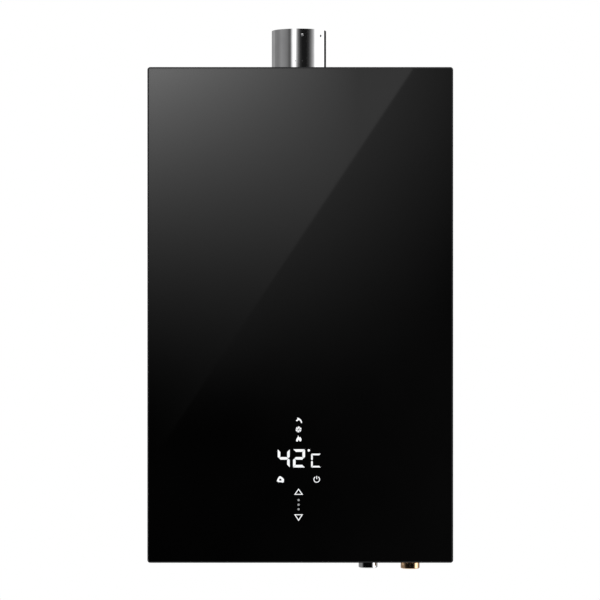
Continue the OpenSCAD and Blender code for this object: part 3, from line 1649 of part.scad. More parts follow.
// Open tray on the back plate, its lid and the board inside
module controller_box() {
  t = mould_t;
  ear = controller_ear;
  color("#d8d8d2")
    difference() {
      union() {
        box([controller_x0, controller_x1], [controller_y0 + lid_t, -sheet_t],
          [controller_z0, controller_z1]);
        for (z = controller_ear_zs)
          slab_y([-sheet_t - 2 * t, -sheet_t])
            round_rect([controller_x0 - ear, controller_x1 + ear],
              [z - controller_ear_h / 2, z + controller_ear_h / 2], controller_ear_h / 4);
      }
      box([controller_x0 + t, controller_x1 - t], [controller_y0, -sheet_t - t],
        [controller_z0 + t, controller_z1 - t]);
      for (x = [controller_x0 - ear / 2, controller_x1 + ear / 2], z = controller_ear_zs)
        rod_y(x, [-sheet_t - 3 * t, -sheet_t + cut], z, screw_hole_r);
      for (k = [0:3])
        translate([controller_x0 + lead_slot_x + k * lead_slot_pitch, 0, 0])
          box([0, lead_slot_w], [controller_y0, controller_y0 + lid_t + lead_slot_w],
            [controller_z0 - cut, controller_z0 + t + cut]);
    }
}

module controller_lid() {
  slot_count = 8;
  color("#c8c8c2")
    difference() {
      union() {
        slab_y([controller_y0, controller_y0 + lid_t])
          round_rect([controller_x0, controller_x1], [controller_z0, controller_z1], 2);
        difference() {
          box([controller_x0 + mould_t + slip_gap, controller_x1 - mould_t - slip_gap],
            [controller_y0 + lid_t - 0.5, controller_y0 + lid_t + 3],
            [controller_z0 + mould_t + slip_gap, controller_z1 - mould_t - slip_gap]);
          box([controller_x0 + 2 * mould_t, controller_x1 - 2 * mould_t],
            [controller_y0 + lid_t, controller_y0 + lid_t + 4],
            [controller_z0 + 2 * mould_t, controller_z1 - 2 * mould_t]);
        }
      }
      for (k = [0:slot_count - 1])
        translate([0, 0, controller_z1 - lid_slot_z - k * lid_slot_pitch])
          box([controller_x0 + lead_slot_x, controller_x1 - lead_slot_x],
            [controller_y0 - cut, controller_y0 + lid_t + cut], [-lid_slot_w, 0]);
    }
}

module on_board(size, x, y, z) {
  block_y(x, [y - size[1], y], z, size[0], size[2]);
}

module controller_board() {
  x0 = controller_x0 + mould_t + slip_gap;
  x1 = controller_x1 - mould_t - slip_gap;
  z0 = controller_z0 + mould_t + slip_gap;
  z1 = controller_z1 - mould_t - slip_gap;
  back = -sheet_t - mould_t - board_stand;
  front = back - board_t;
  color("#1d5c33") {
    box([x0, x1], [front, back], [z0, z1]);
    for (x = [x0 + 5, x1 - 5], z = [z0 + 5, z1 - 5])
      rod_y(x, [back, -sheet_t - mould_t], z, 3);
    on_board(transformer, x0 + transformer_at[0], front, z1 - transformer_at[1]);
    for (k = [0:2])
      on_board(relay, x0 + relay_at[0], front, z1 - relay_at[1] - k * relay_pitch);
    for (k = [0:3])
      on_board(lead_plug, x0 + lead_plug_at[0] + k * lead_plug_pitch, front, z0 + lead_plug_at[1]);
    for (at = capacitor_ats)
      rod_y(x0 + at[0], [front - capacitor_l, front], z0 + at[1], capacitor_r);
  }
}

// High-voltage unit for the spark, with its two terminals
module igniter_unit() {
  x1 = igniter_x0 + igniter_w;
  z1 = igniter_z0 + igniter_h;
  y0 = -sheet_t - igniter_d;
  color("#3c4a5a") {
    slab_y([y0, -sheet_t])
      round_rect([igniter_x0 + 6, x1 - 6], [igniter_z0, z1], 3);
    slab_y([-sheet_t - 3, -sheet_t])
      difference() {
        round_rect([igniter_x0, x1], [igniter_z0 + 12, z1 - 12], 3);
        for (x = [igniter_x0 + 3, x1 - 3])
          translate([x, (igniter_z0 + z1) / 2]) circle(r = 1.6);
      }
    for (dx = [-9, 9])
      rod_z(igniter_x0 + igniter_w / 2 + dx, y0 + igniter_d / 2, [igniter_z0 - 12, igniter_z0], 4.5);
  }
}

// Air pressure switch on its bracket
module pressure_switch() {
  back = -sheet_t - switch_back;
  color("#e6e0cf") {
    rod_y(switch_x, [back - switch_d / 2, back], switch_z, switch_r - 3);
    rod_y(switch_x, [back - switch_d / 2 - 4, back - switch_d / 2 + 4], switch_z, switch_r);
    rod_y(switch_x, [back - switch_d, back - switch_d / 2], switch_z, switch_r - 5);
    slab_y([back - switch_d - 10, back - switch_d])
      translate([switch_x, switch_z]) ring(tap_r, tap_r - 1);
    slab_y([back, -sheet_t])
      round_rect([switch_x - switch_foot_w / 2, switch_x + switch_foot_w / 2],
        [switch_z - switch_foot_h / 2, switch_z + switch_foot_h / 2], 3);
  }
}

// Soft tube from the scroll's tap to the pressure switch
module pressure_hose() {
  x0 = fan_x + scroll_r + slip_gap;
  y1 = -sheet_t - switch_back - switch_d - slip_gap;
  route = [
    [x0, flue_y, fan_z], [switch_x, flue_y, fan_z], [switch_x, flue_y, switch_z], [switch_x, y1, switch_z]
  ];
  color("whitesmoke")
    pipe(route, hose_r, tap_r + run_gap, hose_bend_r);
}

back_plate();
front_cover();
glass_panel();
panel_tape();
cover_screws();
cable_gland();
display_holder();
touch_board();
flue_collar();
flue_gasket();
flue_screws();
damper_flap();
damper_pin();
fan_housing();
fan_front_plate();
fan_screws();
impeller();
motor_body();
motor_bearings();
motor_shaft();
smoke_hood();
hood_gasket();
combustion_chamber();
exchanger_fins();
exchanger_tubes();
chamber_coil();
overheat_switch();
burner_frame();
burner_bars();
gas_manifold();
gas_nozzles();
electrode_insulators();
electrode_rods();
electrode_plate();
chamber_brackets();
gas_valve_body();
gas_nipple();
solenoid_coils();
shutoff_plunger();
main_plunger();
modulator_coil();
modulator_plunger();
gas_pipe();
water_valve_body();
inlet_filter();
turbine_axle();
flow_turbine();
flow_sensor();
drain_plug();
drain_seal();
cold_pipe();
hot_pipe();
hot_fitting();
pipe_nuts();
controller_box();
controller_lid();
controller_board();
igniter_unit();
pressure_switch();
pressure_hose();
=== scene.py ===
# %% [markdown]
# # A wall-hung gas water heater
#
# A fan-flued heater for the home: a black glass front on a folded steel casing, a polished flue collar on
# top and threaded connections below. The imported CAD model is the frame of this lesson, so every solid
# already has its true size and place. Blender adds what a solid can't carry: the gloss of black glass,
# the lit signs behind it, the spangle of zinc, turned brass, polished steel and the studio that they
# mirror.

import json
import math

import bmesh
import bpy
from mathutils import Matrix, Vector


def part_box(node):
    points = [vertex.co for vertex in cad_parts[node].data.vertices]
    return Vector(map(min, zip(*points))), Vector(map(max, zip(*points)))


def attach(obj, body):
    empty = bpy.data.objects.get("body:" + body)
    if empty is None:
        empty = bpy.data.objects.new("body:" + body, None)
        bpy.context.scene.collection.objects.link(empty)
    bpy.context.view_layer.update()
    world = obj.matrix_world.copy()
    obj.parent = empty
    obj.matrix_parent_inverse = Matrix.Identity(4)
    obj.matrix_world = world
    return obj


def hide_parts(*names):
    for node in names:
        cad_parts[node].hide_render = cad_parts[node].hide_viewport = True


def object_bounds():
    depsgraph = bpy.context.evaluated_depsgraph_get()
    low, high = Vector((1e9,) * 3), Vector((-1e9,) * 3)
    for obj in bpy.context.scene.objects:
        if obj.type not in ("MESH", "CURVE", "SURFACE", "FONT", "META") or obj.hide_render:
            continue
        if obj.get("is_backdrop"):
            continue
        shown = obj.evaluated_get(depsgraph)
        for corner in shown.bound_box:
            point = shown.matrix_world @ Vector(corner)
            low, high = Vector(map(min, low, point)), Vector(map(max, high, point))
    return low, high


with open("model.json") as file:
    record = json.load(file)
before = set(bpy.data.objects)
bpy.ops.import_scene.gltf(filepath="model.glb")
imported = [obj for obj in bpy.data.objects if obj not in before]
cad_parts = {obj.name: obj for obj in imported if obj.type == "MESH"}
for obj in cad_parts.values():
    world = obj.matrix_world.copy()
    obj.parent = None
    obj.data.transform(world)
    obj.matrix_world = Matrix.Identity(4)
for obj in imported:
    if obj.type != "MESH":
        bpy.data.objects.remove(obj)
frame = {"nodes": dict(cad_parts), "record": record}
cad_low, cad_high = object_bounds()
MM = 0.001
scene = bpy.context.scene
scene.view_settings.view_transform = "Standard"
print("CAD box in mm:", [round(v / MM, 1) for v in (*cad_low, *cad_high)])

# %% [markdown]
# ## Camera
#
# The photograph looks square at the glass. A short lens close by could frame the same panel, but the
# collar and the threads, which stand 70 mm behind the glass, would then look too small. How much smaller
# they look in the photograph gives the distance, a little below three metres. So a long lens stands
# there, and it keeps the sides of the casing out of sight.

# %% Camera
SENSOR_WIDTH_MM = 36.0
FOCAL_LENGTH_MM = 152.42
CAMERA_PLACE = Vector((-0.0003, -2.878, 0.0161))
GLASS_Y = cad_low.y
lens = bpy.data.cameras.new("camera")
lens.sensor_width = SENSOR_WIDTH_MM
lens.lens = FOCAL_LENGTH_MM
camera = bpy.data.objects.new("camera", lens)
camera.location = CAMERA_PLACE
camera.rotation_euler = (math.radians(90), 0, 0)
scene.collection.objects.link(camera)
scene.camera = camera
print("camera to glass, m:", round(GLASS_Y - CAMERA_PLACE.y, 3))

# %% [markdown]
# ## Colours and nodes
#
# Every finish, and the studio too, is a tree of nodes. They could be clicked together by hand. In a
# script, one small function adds a node, sets what it is given and links its inputs, so that each tree
# reads like a recipe. A node that is given as a link stands for its first output. Colours are sRGB hex
# values, the way a paint chart gives them, and one function turns them into the linear numbers that
# Blender calculates with.

# %% Colours and nodes
def linear(hex_colour):
    parts = [int(hex_colour[i : i + 2], 16) / 255 for i in (1, 3, 5)]
    return (*[c / 12.92 if c <= 0.04045 else ((c + 0.055) / 1.055) ** 2.4 for c in parts], 1.0)


def add(tree, kind, settings={}, links={}):
    node = tree.nodes.new("ShaderNode" + kind)
    for key, value in settings.items():
        if key == "stops":
            for stop, (place, colour) in zip(node.color_ramp.elements, value):
                stop.position = place
                stop.color = linear(colour)
        elif isinstance(key, int) or key in node.inputs:
            node.inputs[key].default_value = value
        else:
            setattr(node, key, value)
    for key, source in links.items():
        socket = source.outputs[0] if isinstance(source, bpy.types.Node) else source
        tree.links.new(socket, node.inputs[key])
    return node


def new_look(name):
    look = bpy.data.materials.new(name)
    look.use_nodes = True
    look.node_tree.nodes.clear()
    return look, look.node_tree


print("middle grey in linear light:", round(linear("#808080")[0], 3))

# %% [markdown]
# ## Studio
#
# A catalogue photograph of a glossy black thing is a photograph of what it reflects. Strong lamps on a
# backdrop could make the background white, but they would flood the object as well. So the world is white
# to the camera and to reflections, and dimmer as a light. A large soft lamp stands to the upper left and
# a weaker one to the right.

# %% White world
WORLD_AS_LIGHT = 0.45
world = bpy.data.worlds.new("white_studio")
scene.world = world
world.use_nodes = True
sky = world.node_tree
sky.nodes.clear()
path = add(sky, "LightPath")
rays = {0: path.outputs["Is Camera Ray"], 1: path.outputs["Is Glossy Ray"]}
seen = add(sky, "Math", {"operation": "MAXIMUM"}, rays)
seen = add(sky, "Math", {"operation": "MAXIMUM"}, {0: seen, 1: path.outputs["Is Transmission Ray"]})
dim = add(sky, "Background", {"Color": linear("#ffffff"), "Strength": WORLD_AS_LIGHT})
white = add(sky, "Background", {"Color": linear("#ffffff"), "Strength": 1.0})
both = add(sky, "MixShader", links={0: seen, 1: dim, 2: white})
add(sky, "OutputWorld", links={0: both})
print("world lights at", WORLD_AS_LIGHT, "and shows white")

# %% Lamps
LAMPS = (
    # name, place in metres, watts, side in metres
    ("key_lamp", (-1.6, -2.3, 1.9), 38.0, 2.4),
    ("fill_lamp", (2.2, -1.8, 0.6), 12.0, 2.0),
)
for name, place, watts, side in LAMPS:
    lamp = bpy.data.lights.new(name, "AREA")
    lamp.energy = watts
    lamp.size = side
    stand = bpy.data.objects.new(name, lamp)
    stand.location = place
    stand.rotation_euler = (-Vector(place)).to_track_quat("-Z", "Y").to_euler()
    scene.collection.objects.link(stand)
    print(name, "at", place, watts, "W")

# %% [markdown]
# ## A drum for the reflections
#
# Photographers stand grey, black and white cards round polished metal to draw bands on it, and soften
# their edges with tracing paper. Separate cards could do it here too, but from other sides the metal
# would show their edges and the gaps between them. So they are one upright drum round the heater. Only
# reflections see it, so it neither lights nor shades anything. Its brightness is stored at its points and
# changes evenly between them.

# %% Cards that only reflections see
# Lit tracing paper over grey card: an even glow whose tones run softly into each other.
card_look, tree = new_look("lit_tracing_paper")
level = add(tree, "Attribute", {"attribute_name": "level"}).outputs["Color"]
glow = add(tree, "Emission", {"Strength": 1.0}, {"Color": level})
add(tree, "OutputMaterial", links={"Surface": glow})


def card(name, look, points, faces, levels=()):
    mesh = bpy.data.meshes.new(name)
    mesh.from_pydata(points, [], faces)
    mesh.materials.append(look)
    if levels:
        store = mesh.color_attributes.new("level", "FLOAT_COLOR", "POINT")
        for spot, shade in zip(store.data, levels):
            spot.color = (shade, shade, shade, 1.0)
    obj = bpy.data.objects.new(name, mesh)
    obj.visible_camera = False
    obj.visible_diffuse = False
    obj.visible_shadow = False
    obj.visible_transmission = False
    obj.visible_volume_scatter = False
    scene.collection.objects.link(obj)
    obj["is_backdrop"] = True
    print(f"{name}: {len(faces)} faces")


print("cards glow with", card_look.name)

# %% [markdown]
# ### Brightness round the drum
#
# Seen from the front, the flue collar mirrors a narrow row of the drum above the glass, and the pipe ends
# mirror a row below it. These two rows carry the bands. The rest is a calm surround, which shows from
# every other side: dark in front for the glass, pale behind for the zinc, and pale at the drum's rims.
# Each stop gives a direction, in degrees to the right of the camera, and the brightness there.

# %% Brightness round the drum
COLLAR_ROW = (
    (-180, 0.34), (-142, 0.32), (-131, 0.42), (-121, 0.26), (-104, 0.23), (-96, 0.23), (-80, 0.30),
    (-62, 0.25), (-49, 0.19), (-43, 0.12), (-36, 0.11), (-24, 1.4), (-14, 1.4), (-7, 0.40), (-2, 0.15),
    (6, 0.03), (14, 0.012), (32, 0.010), (42, 0.04), (51, 0.16), (60, 0.40), (66, 0.65), (72, 1.4),
    (133, 1.4), (137, 0.02), (180, 0.01),
)
PIPE_ROW = (
    (-180, 0.40), (-130, 0.24), (-84, 0.25), (-72, 0.14), (-62, 0.02), (-54, 0.002), (42, 0.002),
    (50, 0.04), (60, 0.6), (66, 1.6), (72, 2.5), (90, 2.5), (102, 0.9), (114, 0.35), (140, 0.30),
    (180, 0.5),
)
SURROUND = (
    (-180, 0.80), (-150, 0.95), (-125, 0.50), (-100, 0.45), (-75, 0.65), (-50, 0.30), (-30, 0.12),
    (-12, 0.08), (10, 0.05), (35, 0.10), (55, 0.35), (80, 0.70), (105, 0.55), (128, 0.30), (150, 0.60),
    (180, 0.80),
)
PALE = ((-180, 0.92), (180, 0.92))


def brightness(stops, turn):
    (a, first), (b, last) = next(pair for pair in zip(stops, stops[1:]) if pair[1][0] >= turn)
    return first + (last - first) * (turn - a) / (b - a)


print("surround straight ahead:", round(brightness(SURROUND, 0), 3))

# %% Drum round the heater
DRUM_R = 2.6
FLUE_X = -1.5 * MM
FLUE_Y = -68 * MM
TURNS = range(-180, 181)
DRUM_ROWS = (
    # height in metres, brightness round the drum there
    (-2.40, PALE), (-1.00, SURROUND), (-0.78, SURROUND), (-0.64, PIPE_ROW), (-0.44, PIPE_ROW),
    (-0.30, SURROUND), (0.34, SURROUND), (0.46, COLLAR_ROW), (0.63, COLLAR_ROW), (0.75, SURROUND),
    (2.80, PALE),
)
points = []
levels = []
for z, stops in DRUM_ROWS:
    for turn in TURNS:
        angle = math.radians(turn)
        points.append((DRUM_R * math.sin(angle), FLUE_Y - DRUM_R * math.cos(angle), z))
        levels.append(brightness(stops, turn))
wide = len(TURNS)
faces = [
    (k, k + 1, k + 1 + wide, k + wide)
    for row in range(len(DRUM_ROWS) - 1)
    for k in range(row * wide, row * wide + wide - 1)
]
card("reflection_drum", card_look, points, faces, levels)

# %% [markdown]
# ## What the glass mirrors
#
# The glass shows a soft sheen, brightest at its upper left and gone by mid height, cut by one slanting
# edge. It could be painted on the glass, but it would then stay there from every side. So it is a lit
# card in front of the camera, which only reflections see. Mirrored, it fills the panel exactly, so its
# own width and height stand for the panel's. Its light fades downwards: by a power at its left side, and
# by a smooth step just left of the slanting edge, just right of it and at the right side. Between these
# four it changes evenly. Glass sends back only 4% of what it faces, so the card glows over twenty times as
# bright as the sheen that it makes.

# %% Light on the sheen card
GLASS_IOR = 1.52
mirrored = ((GLASS_IOR - 1) / (GLASS_IOR + 1)) ** 2
LEFT_TOP = "#6a6a6a"
LEFT_POWER = 4.0
FALLS = (
    # grey at the foot, grey at the top, where it has faded and where it starts to, in shares of the height
    ("#141414", "#343434", 0.367, 0.951),
    ("#020202", "#474747", 0.238, 1.384),
    ("#070707", "#1c1c1c", 0.492, 1.076),
)
# Shares of the card's width over which the light changes from one fall to the next.
LEFT_SPAN = {"From Min": 0.0, "From Max": 0.688}
RIGHT_SPAN = {"From Min": 0.243, "From Max": 1.0}
EDGE_SPAN = {"From Min": -0.002, "From Max": 0.003}
EDGE_SLOPE = -1.078
EDGE_SHIFT = 0.2057
print("glass mirrors", round(mirrored, 4), "of the card")

# %% Finish of the sheen card
# Woven white diffuser cloth, lit from behind: a glow that dies away gently from its lamp.
sheen_look, tree = new_look("backlit_diffuser_cloth")
parts = add(tree, "SeparateXYZ", links={0: add(tree, "TexCoord").outputs["Generated"]})
across = parts.outputs["X"]
up = parts.outputs["Z"]
fall = add(tree, "Math", {"operation": "POWER", 1: LEFT_POWER}, {0: up})
greys = [add(tree, "MixRGB", {1: linear("#000000"), 2: linear(LEFT_TOP)}, {0: fall})]
for foot, top, low, high in FALLS:
    rise = {"interpolation_type": "SMOOTHSTEP", "From Min": low, "From Max": high}
    fall = add(tree, "MapRange", rise, {"Value": up})
    greys.append(add(tree, "MixRGB", {1: linear(foot), 2: linear(top)}, {0: fall}))
fade = add(tree, "MapRange", LEFT_SPAN, {"Value": across})
bright = add(tree, "MixRGB", links={0: fade, 1: greys[0], 2: greys[1]})
fade = add(tree, "MapRange", RIGHT_SPAN, {"Value": across})
dark = add(tree, "MixRGB", links={0: fade, 1: greys[2], 2: greys[3]})
slant = add(tree, "Math", {"operation": "MULTIPLY_ADD", 1: EDGE_SLOPE, 2: EDGE_SHIFT}, {0: up})
slant = add(tree, "Math", {"operation": "ADD"}, {0: across, 1: slant})
side = add(tree, "MapRange", EDGE_SPAN, {"Value": slant})
shown = add(tree, "MixRGB", links={0: side, 1: bright, 2: dark})
glow = add(tree, "Emission", {"Strength": 1 / mirrored}, {"Color": shown})
add(tree, "OutputMaterial", links={"Surface": glow})
print("sheen comes from", sheen_look.name)

# %% [markdown]
# ### Placing the card
#
# A flat mirror sends each line of sight straight on to one point of the card, so the panel's corners give
# the card's corners. The collar could mirror the card as well, so a black flag runs from the top edge of
# the glass to the top of the card and keeps its light off the collar.

# %% Sheen card and black flag
CARD_Y = -2.4
# Half the width and half the height of the panel in metres, with a hair over.
PANEL_HALF_W = 0.1652
PANEL_HALF_H = 0.2678
FLAG_HALF_W = 0.2
reach = 1 + (CARD_Y - GLASS_Y) / (CAMERA_PLACE.y - GLASS_Y)


def on_card(place, eye):
    return eye + (place - eye) * reach


low_x, high_x = (on_card(x, CAMERA_PLACE.x) for x in (-PANEL_HALF_W, PANEL_HALF_W))
low_z, high_z = (on_card(z, CAMERA_PLACE.z) for z in (-PANEL_HALF_H, PANEL_HALF_H))
corners = [
    (low_x, CARD_Y, low_z), (high_x, CARD_Y, low_z), (high_x, CARD_Y, high_z), (low_x, CARD_Y, high_z),
]
card("sheen_card", sheen_look, corners, [(0, 1, 2, 3)])
flag_far = on_card(FLAG_HALF_W, CAMERA_PLACE.x)
flag = [
    (-FLAG_HALF_W, GLASS_Y, PANEL_HALF_H), (FLAG_HALF_W, GLASS_Y, PANEL_HALF_H),
    (flag_far, CARD_Y, high_z), (-flag_far, CARD_Y, high_z),
]
card("black_flag", card_look, flag, [(0, 1, 2, 3)], [0.0] * 4)
print("card is", round(high_x - low_x, 3), "m wide")

# %% [markdown]
# ## Floor
#
# The heater hangs clear of the ground, so the floor is a pale sheet well below it. A square sheet would
# show its edges from above. A round one can fade out at its rim, and a clear underside leaves the view
# from below open. A pattern's scale counts its waves to the metre, so a helper works it out from a size
# in millimetres.

# %% Floor finish
FLOOR_R = 1.6


def per_metre(size_mm):
    return 1000 / size_mm


# Uncoated white paper: matt and very pale, with a trace of fibres 6 mm long. Noise seldom leaves the range
# from 0.3 to 0.7, so colours and gloss are spread over that.
floor_look, tree = new_look("uncoated_paper_sheet")
place = add(tree, "TexCoord").outputs["Object"]
fibre = add(tree, "TexNoise", {"Scale": per_metre(6), "Detail": 4.0}, {"Vector": place}).outputs["Fac"]
tone = add(tree, "ValToRGB", {"stops": [(0.3, "#f1f1f0"), (0.7, "#f6f6f5")]}, {0: fibre})
paper = add(tree, "BsdfPrincipled", {"Roughness": 0.8}, {"Base Color": tone})
far = add(tree, "VectorMath", {"operation": "LENGTH"}, {0: place}).outputs["Value"]
rim = add(tree, "MapRange", {"From Min": 0.7 * FLOOR_R, "From Max": 0.98 * FLOOR_R}, {"Value": far})
below = add(tree, "NewGeometry").outputs["Backfacing"]
gone = add(tree, "Math", {"operation": "MAXIMUM"}, {0: rim, 1: below})
mix = add(tree, "MixShader", links={0: gone, 1: paper, 2: add(tree, "BsdfTransparent")})
add(tree, "OutputMaterial", links={"Surface": mix})
print("floor finish:", floor_look.name)

# %% Floor sheet
FLOOR_DROP = 0.42
FLOOR_Y = -0.07
bm = bmesh.new()
bmesh.ops.create_circle(bm, cap_ends=True, segments=96, radius=FLOOR_R)
mesh = bpy.data.meshes.new("floor")
bm.to_mesh(mesh)
bm.free()
mesh.materials.append(floor_look)
floor = bpy.data.objects.new("floor", mesh)
floor.location = (0, FLOOR_Y, cad_low.z - FLOOR_DROP)
scene.collection.objects.link(floor)
floor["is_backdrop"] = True
print("floor lies", round(FLOOR_DROP / MM), "mm below the pipe ends")

# %% [markdown]
# ## Finishes that most solids share
#
# Inside the casing nearly every piece is one material with one kind of grain. Each could have a tree of
# its own, but the trees would differ only in numbers. So they share one recipe: the grain moves the
# colour between two shades, moves the roughness and raises a slight relief. Each row says what the real
# material is and how it was made, its shades, its gloss and its grain in millimetres. A grain is even, as
# in moulded plastic or cast metal, or stretched along an axis, as left by rolling, drawing or turning.

# %% Shared finishes
EVEN = (1, 1, 1)
FINISHES = {
    # slot: (material and making, dark shade, light shade, IOR or None for a metal, roughness range,
    #        grain in mm, squeeze of the grain along x, y and z, where less than 1 draws it out, relief)
    # Cool bright grey with small soft glints.
    "screw_steel": (
        "zinc_plated_pressed_steel", "#b4b6b8", "#d2d4d6", None, (0.18, 0.28), 0.9, EVEN, 0.04),
    # Dark grey paint with a smooth, dull shine.
    "motor_steel": ("stoved_enamel_on_steel", "#3a3d41", "#4a4d52", 1.5, (0.35, 0.45), 1.2, EVEN, 0.06),
    # Dark grey metal with lines left by the tool.
    "iron": ("turned_soft_iron", "#6c6d70", "#86878a", None, (0.3, 0.42), 0.5, (0.2, 1, 1), 0.05),
    # Pale grey metal, matt and faintly sandy.
    "die_cast": (
        "blasted_die_cast_aluminium", "#a9acaf", "#c3c6c9", None, (0.42, 0.56), 0.7, EVEN, 0.12),
    # Warm red metal with long soft streaks.
    "copper": ("drawn_copper", "#bd7852", "#d08d66", None, (0.22, 0.34), 3.5, (1, 1, 0.3), 0.03),
    # Off-white and felted, with no shine at all.
    "fibre_gasket": (
        "pressed_ceramic_fibre", "#d6d2c6", "#ece8dd", 1.45, (0.85, 0.95), 1.6, (1, 1, 3), 0.35),
    # Nearly black and dull, with fine pores.
    "foam_tape": ("closed_cell_foam", "#1f1f20", "#2c2c2e", 1.45, (0.8, 0.95), 0.8, EVEN, 0.3),
    # Deep black with a soft shine.
    "black_rubber": ("moulded_nitrile_rubber", "#141415", "#222224", 1.5, (0.55, 0.7), 0.8, EVEN, 0.1),
    # Milky white, smooth and slightly shiny.
    "silicone": ("extruded_silicone", "#d5d3cb", "#e4e2db", 1.43, (0.35, 0.45), 4.0, EVEN, 0.03),
    # Black with the fine, even grain of the mould.
    "black_plastic": ("moulded_black_nylon", "#161618", "#232326", 1.53, (0.42, 0.55), 0.6, EVEN, 0.12),
    # Warm white and half matt.
    "white_plastic": (
        "moulded_white_polypropylene", "#d8d6ce", "#e6e4dd", 1.49, (0.4, 0.5), 0.8, EVEN, 0.06),
    # Strong blue, smooth and a little shiny.
    "blue_plastic": ("moulded_blue_acetal", "#1d3f9c", "#2a52b8", 1.48, (0.3, 0.4), 0.8, EVEN, 0.04),
    # Slate grey with a fine mould grain.
    "grey_plastic": ("moulded_grey_abs", "#3a4452", "#4b5665", 1.54, (0.4, 0.52), 0.7, EVEN, 0.1),
    # Shiny green lacquer with the weave of the glass under it.
    "circuit_board": (
        "solder_masked_fibreglass", "#123a20", "#1d5630", 1.55, (0.25, 0.35), 1.5, (1, 0.2, 1), 0.06),
    # Cream white under a clear, wet-looking glaze.
    "ceramic_white": ("glazed_alumina", "#e6e4de", "#f2f0ea", 1.76, (0.12, 0.2), 2.5, EVEN, 0.02),
}
print(len(FINISHES), "rows of finishes")

# %% One recipe for the shared finishes
CLOUD_TO_GRAIN = 14
GRIT_SHARE = 0.4
RELIEF_TO_GRAIN = 0.2
finish = {}
for slot, (name, dark, light, ior, rough, grain, squeeze, relief) in FINISHES.items():
    look, tree = new_look(name)
    place = add(tree, "TexCoord").outputs["Object"]
    drawn = add(tree, "Mapping", {"Scale": squeeze}, {"Vector": place})
    fine = {"Scale": per_metre(grain), "Detail": 3.0}
    grit = add(tree, "TexNoise", fine, {"Vector": drawn}).outputs["Fac"]
    broad = {"Scale": per_metre(CLOUD_TO_GRAIN * grain), "Detail": 2.0}
    cloud = add(tree, "TexNoise", broad, {"Vector": drawn}).outputs["Fac"]
    speck = add(tree, "Math", {"operation": "MULTIPLY", 1: GRIT_SHARE}, {0: grit})
    blotch = add(tree, "Math", {"operation": "MULTIPLY_ADD", 1: 1 - GRIT_SHARE}, {0: cloud, 2: speck})
    shade = add(tree, "ValToRGB", {"stops": [(0.3, dark), (0.7, light)]}, {0: blotch})
    span = {"From Min": 0.3, "From Max": 0.7, "To Min": rough[0], "To Max": rough[1]}
    gloss = add(tree, "MapRange", span, {"Value": blotch})
    depth = {"Strength": relief, "Distance": RELIEF_TO_GRAIN * grain * MM}
    bump = add(tree, "Bump", depth, {"Height": grit})
    kind = {"IOR": ior} if ior else {"Metallic": 1.0}
    surface = add(tree, "BsdfPrincipled", kind, {"Base Color": shade, "Roughness": gloss, "Normal": bump})
    add(tree, "OutputMaterial", links={"Surface": surface})
    finish[slot] = look
print(len(finish), "shared finishes made")

# %% [markdown]
# ## Black glass
#
# The front is float glass with black ceramic enamel fired on its back. It could be clear glass over a
# black sheet, but light that passes through clear glass is slow to work out and nothing of it would show.
# So the glass is black itself, with a trace of cloud from the enamel, and nearly no roughness, with the
# faint drift that wiping leaves. Its edges are ground on a wheel, which leaves grit, so they have a
# finish of their own.

# %% Face of the glass
# Deep black with a hard, clear shine.
glass_look, tree = new_look("enamelled_float_glass")
place = add(tree, "TexCoord").outputs["Object"]
cloud = add(tree, "TexNoise", {"Scale": per_metre(90), "Detail": 3.0}, {"Vector": place}).outputs["Fac"]
shade = add(tree, "ValToRGB", {"stops": [(0.3, "#000000"), (0.7, "#020202")]}, {0: cloud})
wiped = add(tree, "Mapping", {"Scale": (1, 1, 0.25)}, {"Vector": place})
drift = add(tree, "TexNoise", {"Scale": per_metre(60), "Detail": 5.0}, {"Vector": wiped}).outputs["Fac"]
gloss = add(tree, "MapRange", {"To Min": 0.012, "To Max": 0.03}, {"Value": drift})
surface = add(tree, "BsdfPrincipled", {"IOR": GLASS_IOR}, {"Base Color": shade, "Roughness": gloss})
add(tree, "OutputMaterial", links={"Surface": surface})
finish["enamelled_glass"] = glass_look
print("glass:", glass_look.name)

# %% Ground edge of the glass
# A thin, matt, dark grey line round the panel. The wheel's grit is drawn 0.4 mm coarse, so that it shows.
edge_look, tree = new_look("ground_glass_edge")
place = add(tree, "TexCoord").outputs["Object"]
grit = add(tree, "TexNoise", {"Scale": per_metre(0.4), "Detail": 3.0}, {"Vector": place}).outputs["Fac"]
shade = add(tree, "ValToRGB", {"stops": [(0.3, "#121314"), (0.7, "#1d1e20")]}, {0: grit})
gloss = add(tree, "MapRange", {"To Min": 0.3, "To Max": 0.5}, {"Value": grit})
bump = add(tree, "Bump", {"Strength": 0.1, "Distance": 0.05 * MM}, {"Height": grit})
matt = {"IOR": GLASS_IOR, "Specular IOR Level": 0.15}
surface = add(tree, "BsdfPrincipled", matt, {"Base Color": shade, "Roughness": gloss, "Normal": bump})
add(tree, "OutputMaterial", links={"Surface": surface})
print("edge of the glass:", edge_look.name)

# %% [markdown]
# ## Powder coat and galvanised sheet
#
# The cover is powder coated: the powder melts into a skin with a fine orange peel, about a millimetre
# from bump to bump. The chassis, hood and fan are cut from galvanised sheet. As zinc cools on steel it
# freezes in crystals about 10 mm across, the spangle, each tilted its own way. Noise could mottle the
# sheet, but a Voronoi pattern grows cells from seeds as the crystals do, so its cells give each crystal
# its own grey and gloss. A folded sheet has no sharp edge, so a Bevel node turns the light round every
# fold and bead.

